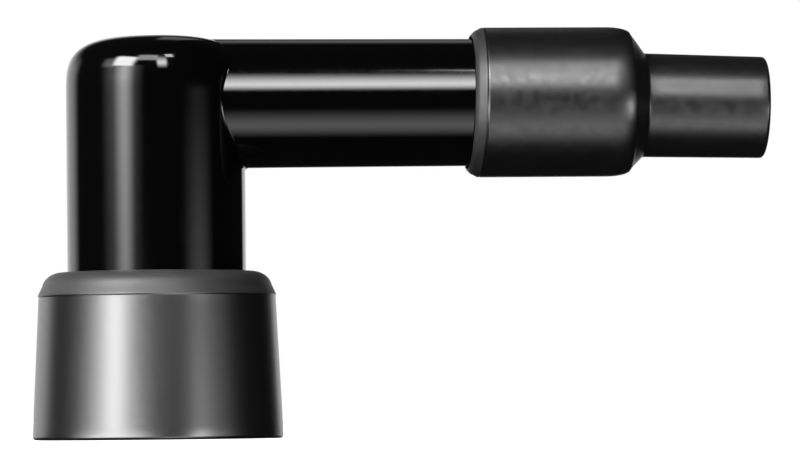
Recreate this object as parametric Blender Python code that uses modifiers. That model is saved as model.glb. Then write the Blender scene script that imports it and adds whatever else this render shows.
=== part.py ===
"""Spark plug cap: a moulded elbow with a rubber plug boot and a rubber cable seal.

The spark plug's axis is Z and the cable arm runs along +X. The origin is the centre of the seat inside
the brass terminal, where the top of the plug's nut comes to rest. Every size is in metres.
"""

import math

import bmesh
import bpy
import numpy as np
from mathutils import Vector

# Clearance between pieces that touch
FIT_GAP = 0.0003

# Elbow: barrel, dome and arm
BARREL_RADIUS = 0.00964
BARREL_FOOT_CHAMFER = 0.0005
DOME_HEIGHT = 0.0062
DOME_EXPONENT = 3.0
CROWN_RISE = 0.0003
ARM_ROOT_RADIUS = 0.0070
ARM_TIP_RADIUS = 0.00685
ARM_REACH = 0.0506
ARM_TIP_CHAMFER = 0.0004
ROOT_FILLET = 0.0005
ARM_ROOT_DEPTH = 0.0064

# Plug boot
SEAT_ABOVE_MOUTH = 0.0308
BOOT_HEIGHT = 0.0180
BOOT_LIP_WALL = 0.0003
BOOT_COLLAR_WALL = 0.0029
BOOT_SHOULDER_HEIGHT = 0.0025
BOOT_RIDGE_STEP = 0.00045
BOOT_RIDGE_RISE = 0.0007
BOOT_BROW_ANGLE = 12.0
BOOT_PARTING_STEP = 0.00008
BOOT_PARTING_DROP = 0.0002
SKIRT_FLARE = 0.00076
SKIRT_WALL = 0.00256
SKIRT_DEPTH = 0.0070
SKIRT_EDGE_ROUND = 0.0004
BOOT_WEB_THICKNESS = 0.0020
PLUG_GRIP_RADIUS = 0.0050
PLUG_GRIP_VALLEY = 0.0005
PLUG_GRIP_EDGE = 0.0004

# Bead inside the boot that locks in a groove round the barrel
BOOT_LOCK_ABOVE_FOOT = 0.0030
BOOT_LOCK_WIDTH = 0.0020
BOOT_LOCK_DEPTH = 0.0009

# Cable seal
SEAL_GRIP = 0.0167
SEAL_WALL = 0.00092
SEAL_RIM_LENGTH = 0.0015
SEAL_RIM_START_ANGLE = -66.0
SEAL_RIM_END_ANGLE = -16.0
SEAL_END_WALL = 0.0006
SEAL_EASE_LENGTH = 0.0026
SEAL_EASE_DROP = 0.0006
SEAL_EASE_ANGLE = 75.0
SEAL_SHOULDER_LENGTH = 0.0015
SEAL_FILLET = 0.0004
NECK_RADIUS = 0.00568
NECK_LENGTH = 0.0131
NECK_EDGE_ROUND = 0.0004
NECK_BORE_RADIUS = 0.0034
NECK_OFFSET = 0.00035
NECK_DROOP = math.radians(1.3)

# Bead inside the seal that locks in a groove round the arm
SEAL_LOCK_FROM_TIP = 0.0035
SEAL_LOCK_WIDTH = 0.0016
SEAL_LOCK_DEPTH = 0.0005

# Plug terminal, its spring clip and the moulded-in insert
TERMINAL_DEPTH = 0.0088
TERMINAL_BORE_RADIUS = 0.0033
TERMINAL_WALL = 0.0009
TERMINAL_CROWN = 0.0012
TERMINAL_MOUTH_CHAMFER = 0.0003
TERMINAL_COVER = 0.0015
STUD_RADIUS = 0.0020
STUD_LENGTH = 0.0045
CLIP_WIRE_RADIUS = 0.0003
CLIP_ABOVE_MOUTH = 0.0050
CLIP_LEG_OFFSET = 0.00275
BARREL_BORE_ROOM = 0.0005
INSERT_FLANGE = 0.0008
INSERT_BELOW_AXIS = 0.0038
INSERT_ABOVE_AXIS = 0.0050
INSERT_FLAT = 0.0034
INSERT_WAIST_DEPTH = 0.0005
INSERT_WAIST_WIDTH = 0.0016

# Contact spring, resistor, its caps and the cable screw
SPRING_RADIUS = 0.0019
SPRING_WIRE_RADIUS = 0.00025
SPRING_LENGTH = 0.0036
SPRING_TURNS = 4
RESISTOR_RADIUS = 0.0023
RESISTOR_LENGTH = 0.0140
RESISTOR_CHAMFER = 0.0002
CAP_WALL = 0.00035
CAP_END = 0.0005
CAP_LENGTH = 0.0030
SCREW_NOSE_RADIUS = 0.0018
SCREW_NOSE_LENGTH = 0.0008
SCREW_FLANGE_THICKNESS = 0.0018
SCREW_CORE_RADIUS = 0.0011
SCREW_SHANK_LENGTH = 0.0090
SCREW_POINT_LENGTH = 0.0030
SCREW_POINT_RADIUS = 0.0002
THREAD_RADIUS = 0.0019
THREAD_PITCH = 0.0022
THREAD_ROOT_WIDTH = 0.0011
THREAD_SINK = 0.0002
THREAD_TURNS = 3
CABLE_BORE_RADIUS = 0.0037

# Facets
BARREL_STEPS = 52
ARM_STEPS = 44
BORE_STEPS = 32
SMALL_STEPS = 20
SPRING_STEPS = 12
DOME_RINGS = 10
FILLET_RINGS = 3
SHOULDER_RINGS = 7
RIM_RINGS = 3
EASE_RINGS = 4
EDGE_RINGS = 3
CLIP_RINGS = 12
BISECTIONS = 50
SKIN_SAMPLES = 400
MERGE_DISTANCE = 0.00001
SHARP_ANGLE = math.radians(35.0)

# Heights along the plug axis, from the terminal's seat at 0
TERMINAL_TOP = TERMINAL_CROWN
TERMINAL_MOUTH = -TERMINAL_DEPTH
CLIP_HEIGHT = TERMINAL_MOUTH + CLIP_ABOVE_MOUTH
INSERT_BOTTOM = TERMINAL_TOP + FIT_GAP
ARM_HEIGHT = INSERT_BOTTOM + INSERT_BELOW_AXIS
INSERT_TOP = ARM_HEIGHT + INSERT_ABOVE_AXIS
CROWN_HEIGHT = ARM_HEIGHT + ARM_ROOT_RADIUS + CROWN_RISE
DOME_BASE = CROWN_HEIGHT - DOME_HEIGHT
MOUTH = -SEAT_ABOVE_MOUTH
BOOT_TOP = MOUTH + BOOT_HEIGHT
SKIRT_CEILING = MOUTH + SKIRT_DEPTH
WEB_TOP = SKIRT_CEILING + BOOT_WEB_THICKNESS
BARREL_FOOT = WEB_TOP + FIT_GAP
BOOT_LOCK_HEIGHT = BARREL_FOOT + BOOT_LOCK_ABOVE_FOOT

# Radii round the plug axis
BOOT_INNER_RADIUS = BARREL_RADIUS + FIT_GAP
FILLET_REACH = 4.0 * ROOT_FILLET
RIDGE_RADIUS = BOOT_INNER_RADIUS + BOOT_COLLAR_WALL
SKIRT_TOP_RADIUS = RIDGE_RADIUS - BOOT_PARTING_STEP
MOUTH_RADIUS = SKIRT_TOP_RADIUS + SKIRT_FLARE
TERMINAL_RADIUS = TERMINAL_BORE_RADIUS + TERMINAL_WALL
CLIP_BEND_RADIUS = TERMINAL_RADIUS + FIT_GAP + CLIP_WIRE_RADIUS
BARREL_BORE_RADIUS = CLIP_BEND_RADIUS + CLIP_WIRE_RADIUS + BARREL_BORE_ROOM
INSERT_RADIUS = TERMINAL_RADIUS + INSERT_FLANGE

# Distances from the plug axis along the arm
SPRING_START = INSERT_FLAT + FIT_GAP
INNER_CAP_START = SPRING_START + SPRING_LENGTH + FIT_GAP
RESISTOR_START = INNER_CAP_START + CAP_END + FIT_GAP
RESISTOR_END = RESISTOR_START + RESISTOR_LENGTH
OUTER_CAP_END = RESISTOR_END + FIT_GAP + CAP_END
SCREW_START = OUTER_CAP_END + FIT_GAP
SCREW_FLANGE_START = SCREW_START + SCREW_NOSE_LENGTH
CABLE_BORE_START = SCREW_FLANGE_START - FIT_GAP
SEAL_RIM = ARM_REACH - SEAL_GRIP
SEAL_FLOOR = ARM_REACH + FIT_GAP
SEAL_SHOULDER_START = SEAL_FLOOR + SEAL_END_WALL
SEAL_SHOULDER_END = SEAL_SHOULDER_START + SEAL_SHOULDER_LENGTH
NECK_END = SEAL_SHOULDER_END + NECK_LENGTH
SEAL_LOCK_PLACE = ARM_REACH - SEAL_LOCK_FROM_TIP

# Radii round the arm's axis
CAP_BORE_RADIUS = RESISTOR_RADIUS + FIT_GAP
CAP_RADIUS = CAP_BORE_RADIUS + CAP_WALL
RESISTOR_BORE_RADIUS = CAP_RADIUS + FIT_GAP


def arm_radius(place):
    """Radius of the drafted arm at a distance from the plug axis."""
    share = place / ARM_REACH
    return ARM_ROOT_RADIUS + share * (ARM_TIP_RADIUS - ARM_ROOT_RADIUS)


def start_scene():
    """Empty the scene and make the collections and the two axes that carry the pieces."""
    for thing in list(bpy.data.objects):
        bpy.data.objects.remove(thing, do_unlink=True)
    collections = {}
    for name in ("spark_plug_cap", "cutters"):
        collections[name] = bpy.data.collections.new(name)
        bpy.context.scene.collection.children.link(collections[name])
    plug_axis = bpy.data.objects.new("plug_axis", None)
    arm_axis = bpy.data.objects.new("arm_axis", None)
    arm_axis.location = (0.0, 0.0, ARM_HEIGHT)
    arm_axis.rotation_euler = (0.0, math.radians(90.0), 0.0)
    for axis in (plug_axis, arm_axis):
        collections["spark_plug_cap"].objects.link(axis)
    return collections["spark_plug_cap"], collections["cutters"], plug_axis, arm_axis


def material(name, colour, roughness, metallic):
    """A Principled material of one colour."""
    made = bpy.data.materials.new(name)
    made.use_nodes = True
    shader = made.node_tree.nodes["Principled BSDF"]
    shader.inputs["Base Color"].default_value = (*colour, 1.0)
    shader.inputs["Roughness"].default_value = roughness
    shader.inputs["Metallic"].default_value = metallic
    return made


def mesh_object(name, mesh, collection, parent):
    """Link a new object for a mesh and hang it from its parent."""
    piece = bpy.data.objects.new(name, mesh)
    collection.objects.link(piece)
    piece.parent = parent
    return piece


def as_cutter(piece):
    """Mark an object as a tool for a Boolean."""
    piece.hide_render = True
    piece.display_type = "WIRE"
    return piece


def signed_area(outline):
    """Area of a closed outline, positive when it runs anticlockwise."""
    total = 0.0
    for (start_r, start_z), (end_r, end_z) in zip(outline, outline[1:] + outline[:1]):
        total += start_r * end_z - end_r * start_z
    return total / 2.0


def turned(name, outline, steps, collection, parent):
    """Turn an outline of (radius, height) points into a solid with the Screw modifier.

    An outline whose two ends lie on the axis stays open; any other is closed into a ring.
    """
    solid = outline[0][0] == 0.0 and outline[-1][0] == 0.0
    points = list(outline) if signed_area(list(outline)) < 0.0 else list(reversed(outline))
    mesh = bpy.data.meshes.new(name)
    sketch = bmesh.new()
    corners = [sketch.verts.new((radius, 0.0, height)) for radius, height in points]
    for start, end in zip(corners, corners[1:]):
        sketch.edges.new((start, end))
    if not solid:
        sketch.edges.new((corners[-1], corners[0]))
    sketch.to_mesh(mesh)
    sketch.free()
    piece = mesh_object(name, mesh, collection, parent)
    turn = piece.modifiers.new("Turn", "SCREW")
    turn.steps = steps
    turn.render_steps = steps
    turn.use_merge_vertices = True
    turn.merge_threshold = MERGE_DISTANCE
    return piece


def arc(centre, radii, start, end, rings):
    """Points (radius, height) along part of an ellipse, with angles in degrees."""
    points = []
    for ring in range(rings + 1):
        turn = math.radians(start + (end - start) * ring / rings)
        radius = centre[0] + radii[0] * math.cos(turn)
        height = centre[1] + radii[1] * math.sin(turn)
        points.append((radius, height))
    return points


def box(name, low, high, collection, parent):
    """A box between two corners."""
    mesh = bpy.data.meshes.new(name)
    shape = bmesh.new()
    bmesh.ops.create_cube(shape, size=1.0)
    for corner in shape.verts:
        for axis in range(3):
            share = corner.co[axis] + 0.5
            corner.co[axis] = low[axis] + share * (high[axis] - low[axis])
    shape.to_mesh(mesh)
    shape.free()
    return as_cutter(mesh_object(name, mesh, collection, parent))


def combine(piece, tool, operation):
    """Add a Boolean with another object."""
    step = piece.modifiers.new(tool.name, "BOOLEAN")
    step.object = tool
    step.operation = operation
    step.solver = "EXACT"


def settle(piece, finish):
    """Replace an object's mesh by its evaluated shape, with smooth round sides and crisp edges."""
    bpy.context.view_layer.update()
    graph = bpy.context.evaluated_depsgraph_get()
    mesh = bpy.data.meshes.new_from_object(piece.evaluated_get(graph))
    mesh.name = piece.name
    piece.modifiers.clear()
    piece.data = mesh
    mesh.materials.clear()
    mesh.materials.append(finish)
    mesh.shade_smooth()
    mesh.set_sharp_from_angle(angle=SHARP_ANGLE)
    return piece


def wire(name, path, radius, collection, parent, finish):
    """A wire with closed ends along a list of points."""
    curve = bpy.data.curves.new(name, "CURVE")
    curve.dimensions = "3D"
    curve.bevel_depth = radius
    curve.bevel_resolution = 2
    curve.use_fill_caps = True
    line = curve.splines.new("POLY")
    line.points.add(len(path) - 1)
    for point, place in zip(line.points, path):
        point.co = (*place, 1.0)
    piece = bpy.data.objects.new(name, curve)
    collection.objects.link(piece)
    piece.parent = parent
    curve.materials.append(finish)
    return piece


def dome_outline(rings):
    """Points (radius, height) along the dome, from the crown to the top of the straight barrel."""
    points = [(0.0, CROWN_HEIGHT)]
    power = 2.0 / DOME_EXPONENT
    for ring in range(1, rings):
        turn = math.radians(90.0 * ring / rings)
        radius = BARREL_RADIUS * math.sin(turn) ** power
        height = DOME_BASE + DOME_HEIGHT * math.cos(turn) ** power
        points.append((radius, height))
    points.append((BARREL_RADIUS, DOME_BASE))
    return points


def barrel_outline():
    """The barrel's whole outer outline, from the crown to the centre of its foot."""
    groove = BARREL_RADIUS - BOOT_LOCK_DEPTH
    groove_top = BOOT_LOCK_HEIGHT + BOOT_LOCK_WIDTH / 2.0
    groove_bottom = BOOT_LOCK_HEIGHT - BOOT_LOCK_WIDTH / 2.0
    points = dome_outline(DOME_RINGS)
    points += [(BARREL_RADIUS, groove_top), (groove, groove_top)]
    points += [(groove, groove_bottom), (BARREL_RADIUS, groove_bottom)]
    points.append((BARREL_RADIUS, BARREL_FOOT + BARREL_FOOT_CHAMFER))
    points.append((BARREL_RADIUS - BARREL_FOOT_CHAMFER, BARREL_FOOT))
    points.append((0.0, BARREL_FOOT))
    return points


class BarrelSkin:
    """The barrel's outer surface, as something whose distance can be measured."""

    def __init__(self):
        """Sample the dome finely and carry the straight barrel down to its foot."""
        points = dome_outline(SKIN_SAMPLES)
        points.append((BARREL_RADIUS, BARREL_FOOT))
        self.points = np.array(points)

    def nearest(self, place):
        """The surface point nearest to a place, and the distance, negative inside the barrel."""
        radial = math.hypot(place.x, place.y)
        target = np.array((radial, place.z))
        starts = self.points[:-1]
        spans = self.points[1:] - starts
        along = ((target - starts) * spans).sum(axis=1) / (spans * spans).sum(axis=1)
        feet = starts + np.clip(along, 0.0, 1.0)[:, None] * spans
        gaps = np.hypot(feet[:, 0] - radial, feet[:, 1] - place.z)
        best = int(gaps.argmin())
        around = math.atan2(place.y, place.x)
        foot_radius = float(feet[best, 0])
        foot = Vector((foot_radius * math.cos(around), foot_radius * math.sin(around), float(feet[best, 1])))
        edge = float(np.interp(-place.z, -self.points[:, 1], self.points[:, 0]))
        inside = place.z < CROWN_HEIGHT and radial < edge
        return foot, -float(gaps[best]) if inside else float(gaps[best])


def fillet_arc(skin, angle):
    """One section of the rolling-ball fillet between the arm and the domed barrel.

    The ball's centre slides along the arm at this angle round it until the ball touches the barrel.
    The points run from the arm to the barrel and end a little inside it.
    """
    outward = Vector((0.0, math.cos(angle), math.sin(angle)))
    axis_height = Vector((0.0, 0.0, ARM_HEIGHT))

    def ball_centre(place):
        return Vector((place, 0.0, 0.0)) + axis_height + outward * (arm_radius(place) + ROOT_FILLET)

    near = 0.0
    far = BARREL_RADIUS + FILLET_REACH
    for _ in range(BISECTIONS):
        middle = (near + far) / 2.0
        if skin.nearest(ball_centre(middle))[1] < ROOT_FILLET:
            near = middle
        else:
            far = middle
    centre = ball_centre(far)
    foot = skin.nearest(centre)[0]
    start = -outward
    end = (foot - centre).normalized()
    sweep = start.angle(end)
    points = []
    for ring in range(FILLET_RINGS + 1):
        share = ring / FILLET_RINGS
        direction = start * math.sin((1.0 - share) * sweep) + end * math.sin(share * sweep)
        points.append(centre + direction.normalized() * ROOT_FILLET)
    points.append(foot + end * ROOT_FILLET)
    return points


def arm_outline():
    """Points (place, radius) down the arm's outside, from its tip to just before its root."""
    groove_start = SEAL_LOCK_PLACE + SEAL_LOCK_WIDTH / 2.0
    groove_end = SEAL_LOCK_PLACE - SEAL_LOCK_WIDTH / 2.0
    groove_radius = arm_radius(SEAL_LOCK_PLACE) - SEAL_LOCK_DEPTH
    points = [(ARM_REACH, ARM_TIP_RADIUS - ARM_TIP_CHAMFER)]
    points.append((ARM_REACH - ARM_TIP_CHAMFER, arm_radius(ARM_REACH - ARM_TIP_CHAMFER)))
    points.append((groove_start, arm_radius(groove_start)))
    points.append((groove_start, groove_radius))
    points.append((groove_end, groove_radius))
    points.append((groove_end, arm_radius(groove_end)))
    return points


def filleted_arm(collection):
    """The arm as a loft of rings, whose last rings flare into the domed barrel."""
    skin = BarrelSkin()
    shape = bmesh.new()
    sections = []
    for step in range(ARM_STEPS):
        angle = 2.0 * math.pi * step / ARM_STEPS
        section = []
        for place, radius in arm_outline():
            section.append(Vector((place, radius * math.cos(angle), ARM_HEIGHT + radius * math.sin(angle))))
        section += fillet_arc(skin, angle)
        sections.append([shape.verts.new(point) for point in section])
    count = len(sections[0])
    for this, following in zip(sections, sections[1:] + sections[:1]):
        for ring in range(count - 1):
            shape.faces.new((this[ring], this[ring + 1], following[ring + 1], following[ring]))
    tip = shape.verts.new((ARM_REACH, 0.0, ARM_HEIGHT))
    root = shape.verts.new((BARREL_RADIUS - ARM_ROOT_DEPTH, 0.0, ARM_HEIGHT))
    for this, following in zip(sections, sections[1:] + sections[:1]):
        shape.faces.new((tip, this[0], following[0]))
        shape.faces.new((root, following[-1], this[-1]))
    bmesh.ops.recalc_face_normals(shape, faces=shape.faces)
    mesh = bpy.data.meshes.new("arm")
    shape.to_mesh(mesh)
    shape.free()
    return as_cutter(mesh_object("arm", mesh, collection, None))


def make_elbow(parts, cutters, plug_axis, arm_axis, finish):
    """The moulded elbow: domed barrel, filleted arm, and the bores that hold the inner pieces."""
    elbow = turned("elbow_body", barrel_outline(), BARREL_STEPS, parts, plug_axis)
    combine(elbow, filleted_arm(cutters), "UNION")

    well_radius = INSERT_RADIUS + FIT_GAP
    well_top = INSERT_TOP + FIT_GAP
    bore_top = TERMINAL_TOP - TERMINAL_COVER
    below = BARREL_FOOT - BOOT_WEB_THICKNESS
    bore = [(0.0, well_top), (well_radius, well_top), (well_radius, bore_top)]
    bore += [(BARREL_BORE_RADIUS, bore_top), (BARREL_BORE_RADIUS, below), (0.0, below)]
    combine(elbow, as_cutter(turned("barrel_bore", bore, BORE_STEPS, cutters, plug_axis)), "DIFFERENCE")

    beyond = ARM_REACH + SEAL_END_WALL
    channel = [(0.0, beyond), (CABLE_BORE_RADIUS, beyond), (CABLE_BORE_RADIUS, CABLE_BORE_START)]
    channel += [(RESISTOR_BORE_RADIUS, CABLE_BORE_START), (RESISTOR_BORE_RADIUS, 0.0), (0.0, 0.0)]
    combine(elbow, as_cutter(turned("arm_bore", channel, BORE_STEPS, cutters, arm_axis)), "DIFFERENCE")
    return settle(elbow, finish)


def make_boot(parts, plug_axis, finish):
    """The rubber boot: lip, rounded shoulder, crisp ridge, flared skirt, web and locking bead."""
    ridge_height = BOOT_TOP - BOOT_SHOULDER_HEIGHT
    lip_radius = BOOT_INNER_RADIUS + BOOT_LIP_WALL
    brow_radius = RIDGE_RADIUS - BOOT_RIDGE_STEP
    brow_height = ridge_height + BOOT_RIDGE_RISE
    skirt_bore = MOUTH_RADIUS - SKIRT_WALL
    bead_radius = BOOT_INNER_RADIUS - BOOT_LOCK_DEPTH
    bead_half = BOOT_LOCK_WIDTH / 2.0 - FIT_GAP
    web_middle = (SKIRT_CEILING + WEB_TOP) / 2.0
    edge = SKIRT_EDGE_ROUND

    outline = [(BOOT_INNER_RADIUS, BOOT_TOP)]
    shoulder = (brow_radius - lip_radius, BOOT_TOP - brow_height)
    outline += arc((lip_radius, brow_height), shoulder, 90.0, BOOT_BROW_ANGLE, SHOULDER_RINGS)
    outline.append((RIDGE_RADIUS, ridge_height))
    outline.append((SKIRT_TOP_RADIUS, ridge_height - BOOT_PARTING_DROP))
    outline += arc((MOUTH_RADIUS - edge, MOUTH + edge), (edge, edge), 0.0, -90.0, EDGE_RINGS)
    outline.append((skirt_bore, MOUTH))
    outline.append((skirt_bore, SKIRT_CEILING))
    outline.append((PLUG_GRIP_RADIUS, SKIRT_CEILING))
    outline.append((PLUG_GRIP_RADIUS, SKIRT_CEILING + PLUG_GRIP_EDGE))
    outline.append((PLUG_GRIP_RADIUS + PLUG_GRIP_VALLEY, web_middle))
    outline.append((PLUG_GRIP_RADIUS, WEB_TOP - PLUG_GRIP_EDGE))
    outline.append((PLUG_GRIP_RADIUS, WEB_TOP))
    outline.append((BOOT_INNER_RADIUS, WEB_TOP))
    outline.append((BOOT_INNER_RADIUS, BOOT_LOCK_HEIGHT - bead_half))
    outline.append((bead_radius, BOOT_LOCK_HEIGHT - bead_half))
    outline.append((bead_radius, BOOT_LOCK_HEIGHT + bead_half))
    outline.append((BOOT_INNER_RADIUS, BOOT_LOCK_HEIGHT + bead_half))
    return settle(turned("plug_boot", outline, BARREL_STEPS, parts, plug_axis), finish)


def seal_outline():
    """The seal's closed outline as (radius, distance from the plug axis), before its neck sags."""
    rim_inner = arm_radius(SEAL_RIM) + FIT_GAP
    rim_outer = rim_inner + SEAL_WALL
    floor_inner = ARM_TIP_RADIUS + FIT_GAP
    ease_radius = floor_inner + SEAL_WALL - SEAL_EASE_DROP
    ease_start = SEAL_SHOULDER_START - SEAL_EASE_LENGTH
    bead_radius = arm_radius(SEAL_LOCK_PLACE) + FIT_GAP - SEAL_LOCK_DEPTH
    bead_half = SEAL_LOCK_WIDTH / 2.0 - FIT_GAP
    wall_at_bead = arm_radius(SEAL_LOCK_PLACE) + FIT_GAP

    points = [(rim_inner, SEAL_RIM)]
    bevel = (SEAL_WALL, SEAL_RIM_LENGTH)
    points += arc((rim_inner, SEAL_RIM + SEAL_RIM_LENGTH), bevel, SEAL_RIM_START_ANGLE, SEAL_RIM_END_ANGLE,
                  RIM_RINGS)
    points.append((rim_outer, SEAL_RIM + SEAL_RIM_LENGTH))
    ease = (rim_outer - ease_radius, SEAL_EASE_LENGTH)
    points += arc((ease_radius, ease_start), ease, 0.0, SEAL_EASE_ANGLE, EASE_RINGS)
    points.append((ease_radius, SEAL_SHOULDER_START))
    points += neck_root(ease_radius)
    edge = NECK_EDGE_ROUND
    points += arc((NECK_RADIUS - edge, NECK_END - edge), (edge, edge), 0.0, 90.0, EDGE_RINGS)
    points.append((NECK_BORE_RADIUS + edge, NECK_END))
    points.append((NECK_BORE_RADIUS, NECK_END - edge))
    points.append((NECK_BORE_RADIUS, SEAL_SHOULDER_START))
    points.append((NECK_BORE_RADIUS, SEAL_FLOOR))
    points.append((floor_inner, SEAL_FLOOR))
    points.append((wall_at_bead, SEAL_LOCK_PLACE + bead_half))
    points.append((bead_radius, SEAL_LOCK_PLACE + bead_half))
    points.append((bead_radius, SEAL_LOCK_PLACE - bead_half))
    points.append((wall_at_bead, SEAL_LOCK_PLACE - bead_half))
    return points


def neck_root(ease_radius):
    """Points round the concave fillet between the seal's sloping shoulder and its neck."""
    slope = math.atan2(ease_radius - NECK_RADIUS, SEAL_SHOULDER_LENGTH)
    reach = SEAL_FILLET * math.tan(slope / 2.0)
    centre = (NECK_RADIUS + SEAL_FILLET, SEAL_SHOULDER_END + reach)
    points = []
    for ring in range(EDGE_RINGS + 1):
        turn = slope * (1.0 - ring / EDGE_RINGS)
        points.append((centre[0] - SEAL_FILLET * math.cos(turn), centre[1] - SEAL_FILLET * math.sin(turn)))
    return points


def sag_neck(mesh):
    """Let the seal's neck drop and tilt, as soft rubber does, easing in along its shoulder.

    The seal is turned about its own Z, and its own +X points down once it lies along the arm.
    """
    for corner in mesh.vertices:
        along = (corner.co.z - SEAL_SHOULDER_START) / SEAL_SHOULDER_LENGTH
        share = min(max(along, 0.0), 1.0)
        ease = share * share * (3.0 - 2.0 * share)
        tilt = NECK_DROOP * ease
        ahead = max(corner.co.z - SEAL_SHOULDER_START, 0.0)
        back = min(corner.co.z, SEAL_SHOULDER_START)
        side = corner.co.x
        corner.co.x = side * math.cos(tilt) + ahead * math.sin(tilt) + NECK_OFFSET * ease
        corner.co.z = back + ahead * math.cos(tilt) - side * math.sin(tilt)


def make_seal(parts, arm_axis, finish):
    """The rubber cable seal: rolled rim, socket over the arm, shoulder and sagging neck."""
    seal = settle(turned("cable_seal", seal_outline(), ARM_STEPS, parts, arm_axis), finish)
    sag_neck(seal.data)
    return seal


def make_terminal(parts, cutters, plug_axis, finish):
    """The brass cup that snaps over the plug's nut, with a stud above and two side slots."""
    chamfer = TERMINAL_MOUTH_CHAMFER
    outline = [(0.0, TERMINAL_TOP + STUD_LENGTH), (STUD_RADIUS, TERMINAL_TOP + STUD_LENGTH)]
    outline += [(STUD_RADIUS, TERMINAL_TOP), (TERMINAL_RADIUS, TERMINAL_TOP)]
    outline += [(TERMINAL_RADIUS, TERMINAL_MOUTH), (TERMINAL_BORE_RADIUS + chamfer, TERMINAL_MOUTH)]
    outline += [(TERMINAL_BORE_RADIUS, TERMINAL_MOUTH + chamfer), (TERMINAL_BORE_RADIUS, 0.0), (0.0, 0.0)]
    terminal = turned("plug_terminal", outline, BORE_STEPS, parts, plug_axis)

    slot_half = CLIP_WIRE_RADIUS + FIT_GAP
    slot_edge = CLIP_LEG_OFFSET - slot_half
    reach = 2.0 * TERMINAL_RADIUS
    for name, side in (("slot_left", -1.0), ("slot_right", 1.0)):
        low = (min(side * slot_edge, side * reach), -reach, CLIP_HEIGHT - slot_half)
        high = (max(side * slot_edge, side * reach), reach, CLIP_HEIGHT + slot_half)
        combine(terminal, box(name, low, high, cutters, plug_axis), "DIFFERENCE")
    return settle(terminal, finish)


def make_clip(parts, plug_axis, finish):
    """The spring wire: two straight legs through the cup's slots, joined round the back of the cup."""
    bend_reach = math.sqrt(CLIP_BEND_RADIUS ** 2 - CLIP_LEG_OFFSET ** 2)
    start = math.degrees(math.atan2(bend_reach, CLIP_LEG_OFFSET))
    bend = arc((0.0, 0.0), (CLIP_BEND_RADIUS, CLIP_BEND_RADIUS), start, 180.0 - start, CLIP_RINGS)
    path = [(CLIP_LEG_OFFSET, -bend_reach, CLIP_HEIGHT)]
    path += [(side, back, CLIP_HEIGHT) for side, back in bend]
    path.append((-CLIP_LEG_OFFSET, -bend_reach, CLIP_HEIGHT))
    return wire("terminal_clip", path, CLIP_WIRE_RADIUS, parts, plug_axis, finish)


def make_insert(parts, cutters, plug_axis, finish):
    """The moulded-in brass insert: two flanges, a waist, a tapped hole and a flat for the spring."""
    waist = INSERT_RADIUS - INSERT_WAIST_DEPTH
    waist_top = INSERT_BOTTOM + 2.0 * INSERT_WAIST_WIDTH
    waist_bottom = INSERT_BOTTOM + INSERT_WAIST_WIDTH
    hole = STUD_RADIUS + FIT_GAP
    hole_top = TERMINAL_TOP + STUD_LENGTH + FIT_GAP
    outline = [(0.0, INSERT_TOP), (INSERT_RADIUS, INSERT_TOP), (INSERT_RADIUS, waist_top)]
    outline += [(waist, waist_top), (waist, waist_bottom), (INSERT_RADIUS, waist_bottom)]
    outline += [(INSERT_RADIUS, INSERT_BOTTOM), (hole, INSERT_BOTTOM), (hole, hole_top), (0.0, hole_top)]
    insert = turned("elbow_insert", outline, SMALL_STEPS, parts, plug_axis)
    reach = 2.0 * INSERT_RADIUS
    low = (INSERT_FLAT, -reach, INSERT_BOTTOM - reach)
    high = (reach, reach, INSERT_TOP + reach)
    combine(insert, box("insert_flat", low, high, cutters, plug_axis), "DIFFERENCE")
    return settle(insert, finish)


def make_spring(parts, arm_axis, finish):
    """The coil spring between the insert and the resistor."""
    count = SPRING_TURNS * SPRING_STEPS
    start = SPRING_START + SPRING_WIRE_RADIUS
    climb = SPRING_LENGTH - 2.0 * SPRING_WIRE_RADIUS
    path = []
    for index in range(count + 1):
        turn = 2.0 * math.pi * index / SPRING_STEPS
        height = start + climb * index / count
        path.append((SPRING_RADIUS * math.cos(turn), SPRING_RADIUS * math.sin(turn), height))
    return wire("contact_spring", path, SPRING_WIRE_RADIUS, parts, arm_axis, finish)


def make_resistor(parts, arm_axis, ceramic, brass):
    """The ceramic resistor rod and the brass cap on each end of it."""
    chamfer = RESISTOR_CHAMFER
    rod = [(0.0, RESISTOR_END), (RESISTOR_RADIUS - chamfer, RESISTOR_END)]
    rod += [(RESISTOR_RADIUS, RESISTOR_END - chamfer), (RESISTOR_RADIUS, RESISTOR_START + chamfer)]
    rod += [(RESISTOR_RADIUS - chamfer, RESISTOR_START), (0.0, RESISTOR_START)]
    settle(turned("suppressor_resistor", rod, SMALL_STEPS, parts, arm_axis), ceramic)

    ends = (("resistor_cap_inner", INNER_CAP_START, 1.0), ("resistor_cap_outer", OUTER_CAP_END, -1.0))
    for name, closed_end, into in ends:
        cap = [(0.0, closed_end), (CAP_RADIUS, closed_end), (CAP_RADIUS, closed_end + into * CAP_LENGTH)]
        cap.append((CAP_BORE_RADIUS, closed_end + into * CAP_LENGTH))
        cap.append((CAP_BORE_RADIUS, closed_end + into * CAP_END))
        cap.append((0.0, closed_end + into * CAP_END))
        settle(turned(name, cap, SMALL_STEPS, parts, arm_axis), brass)


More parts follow.
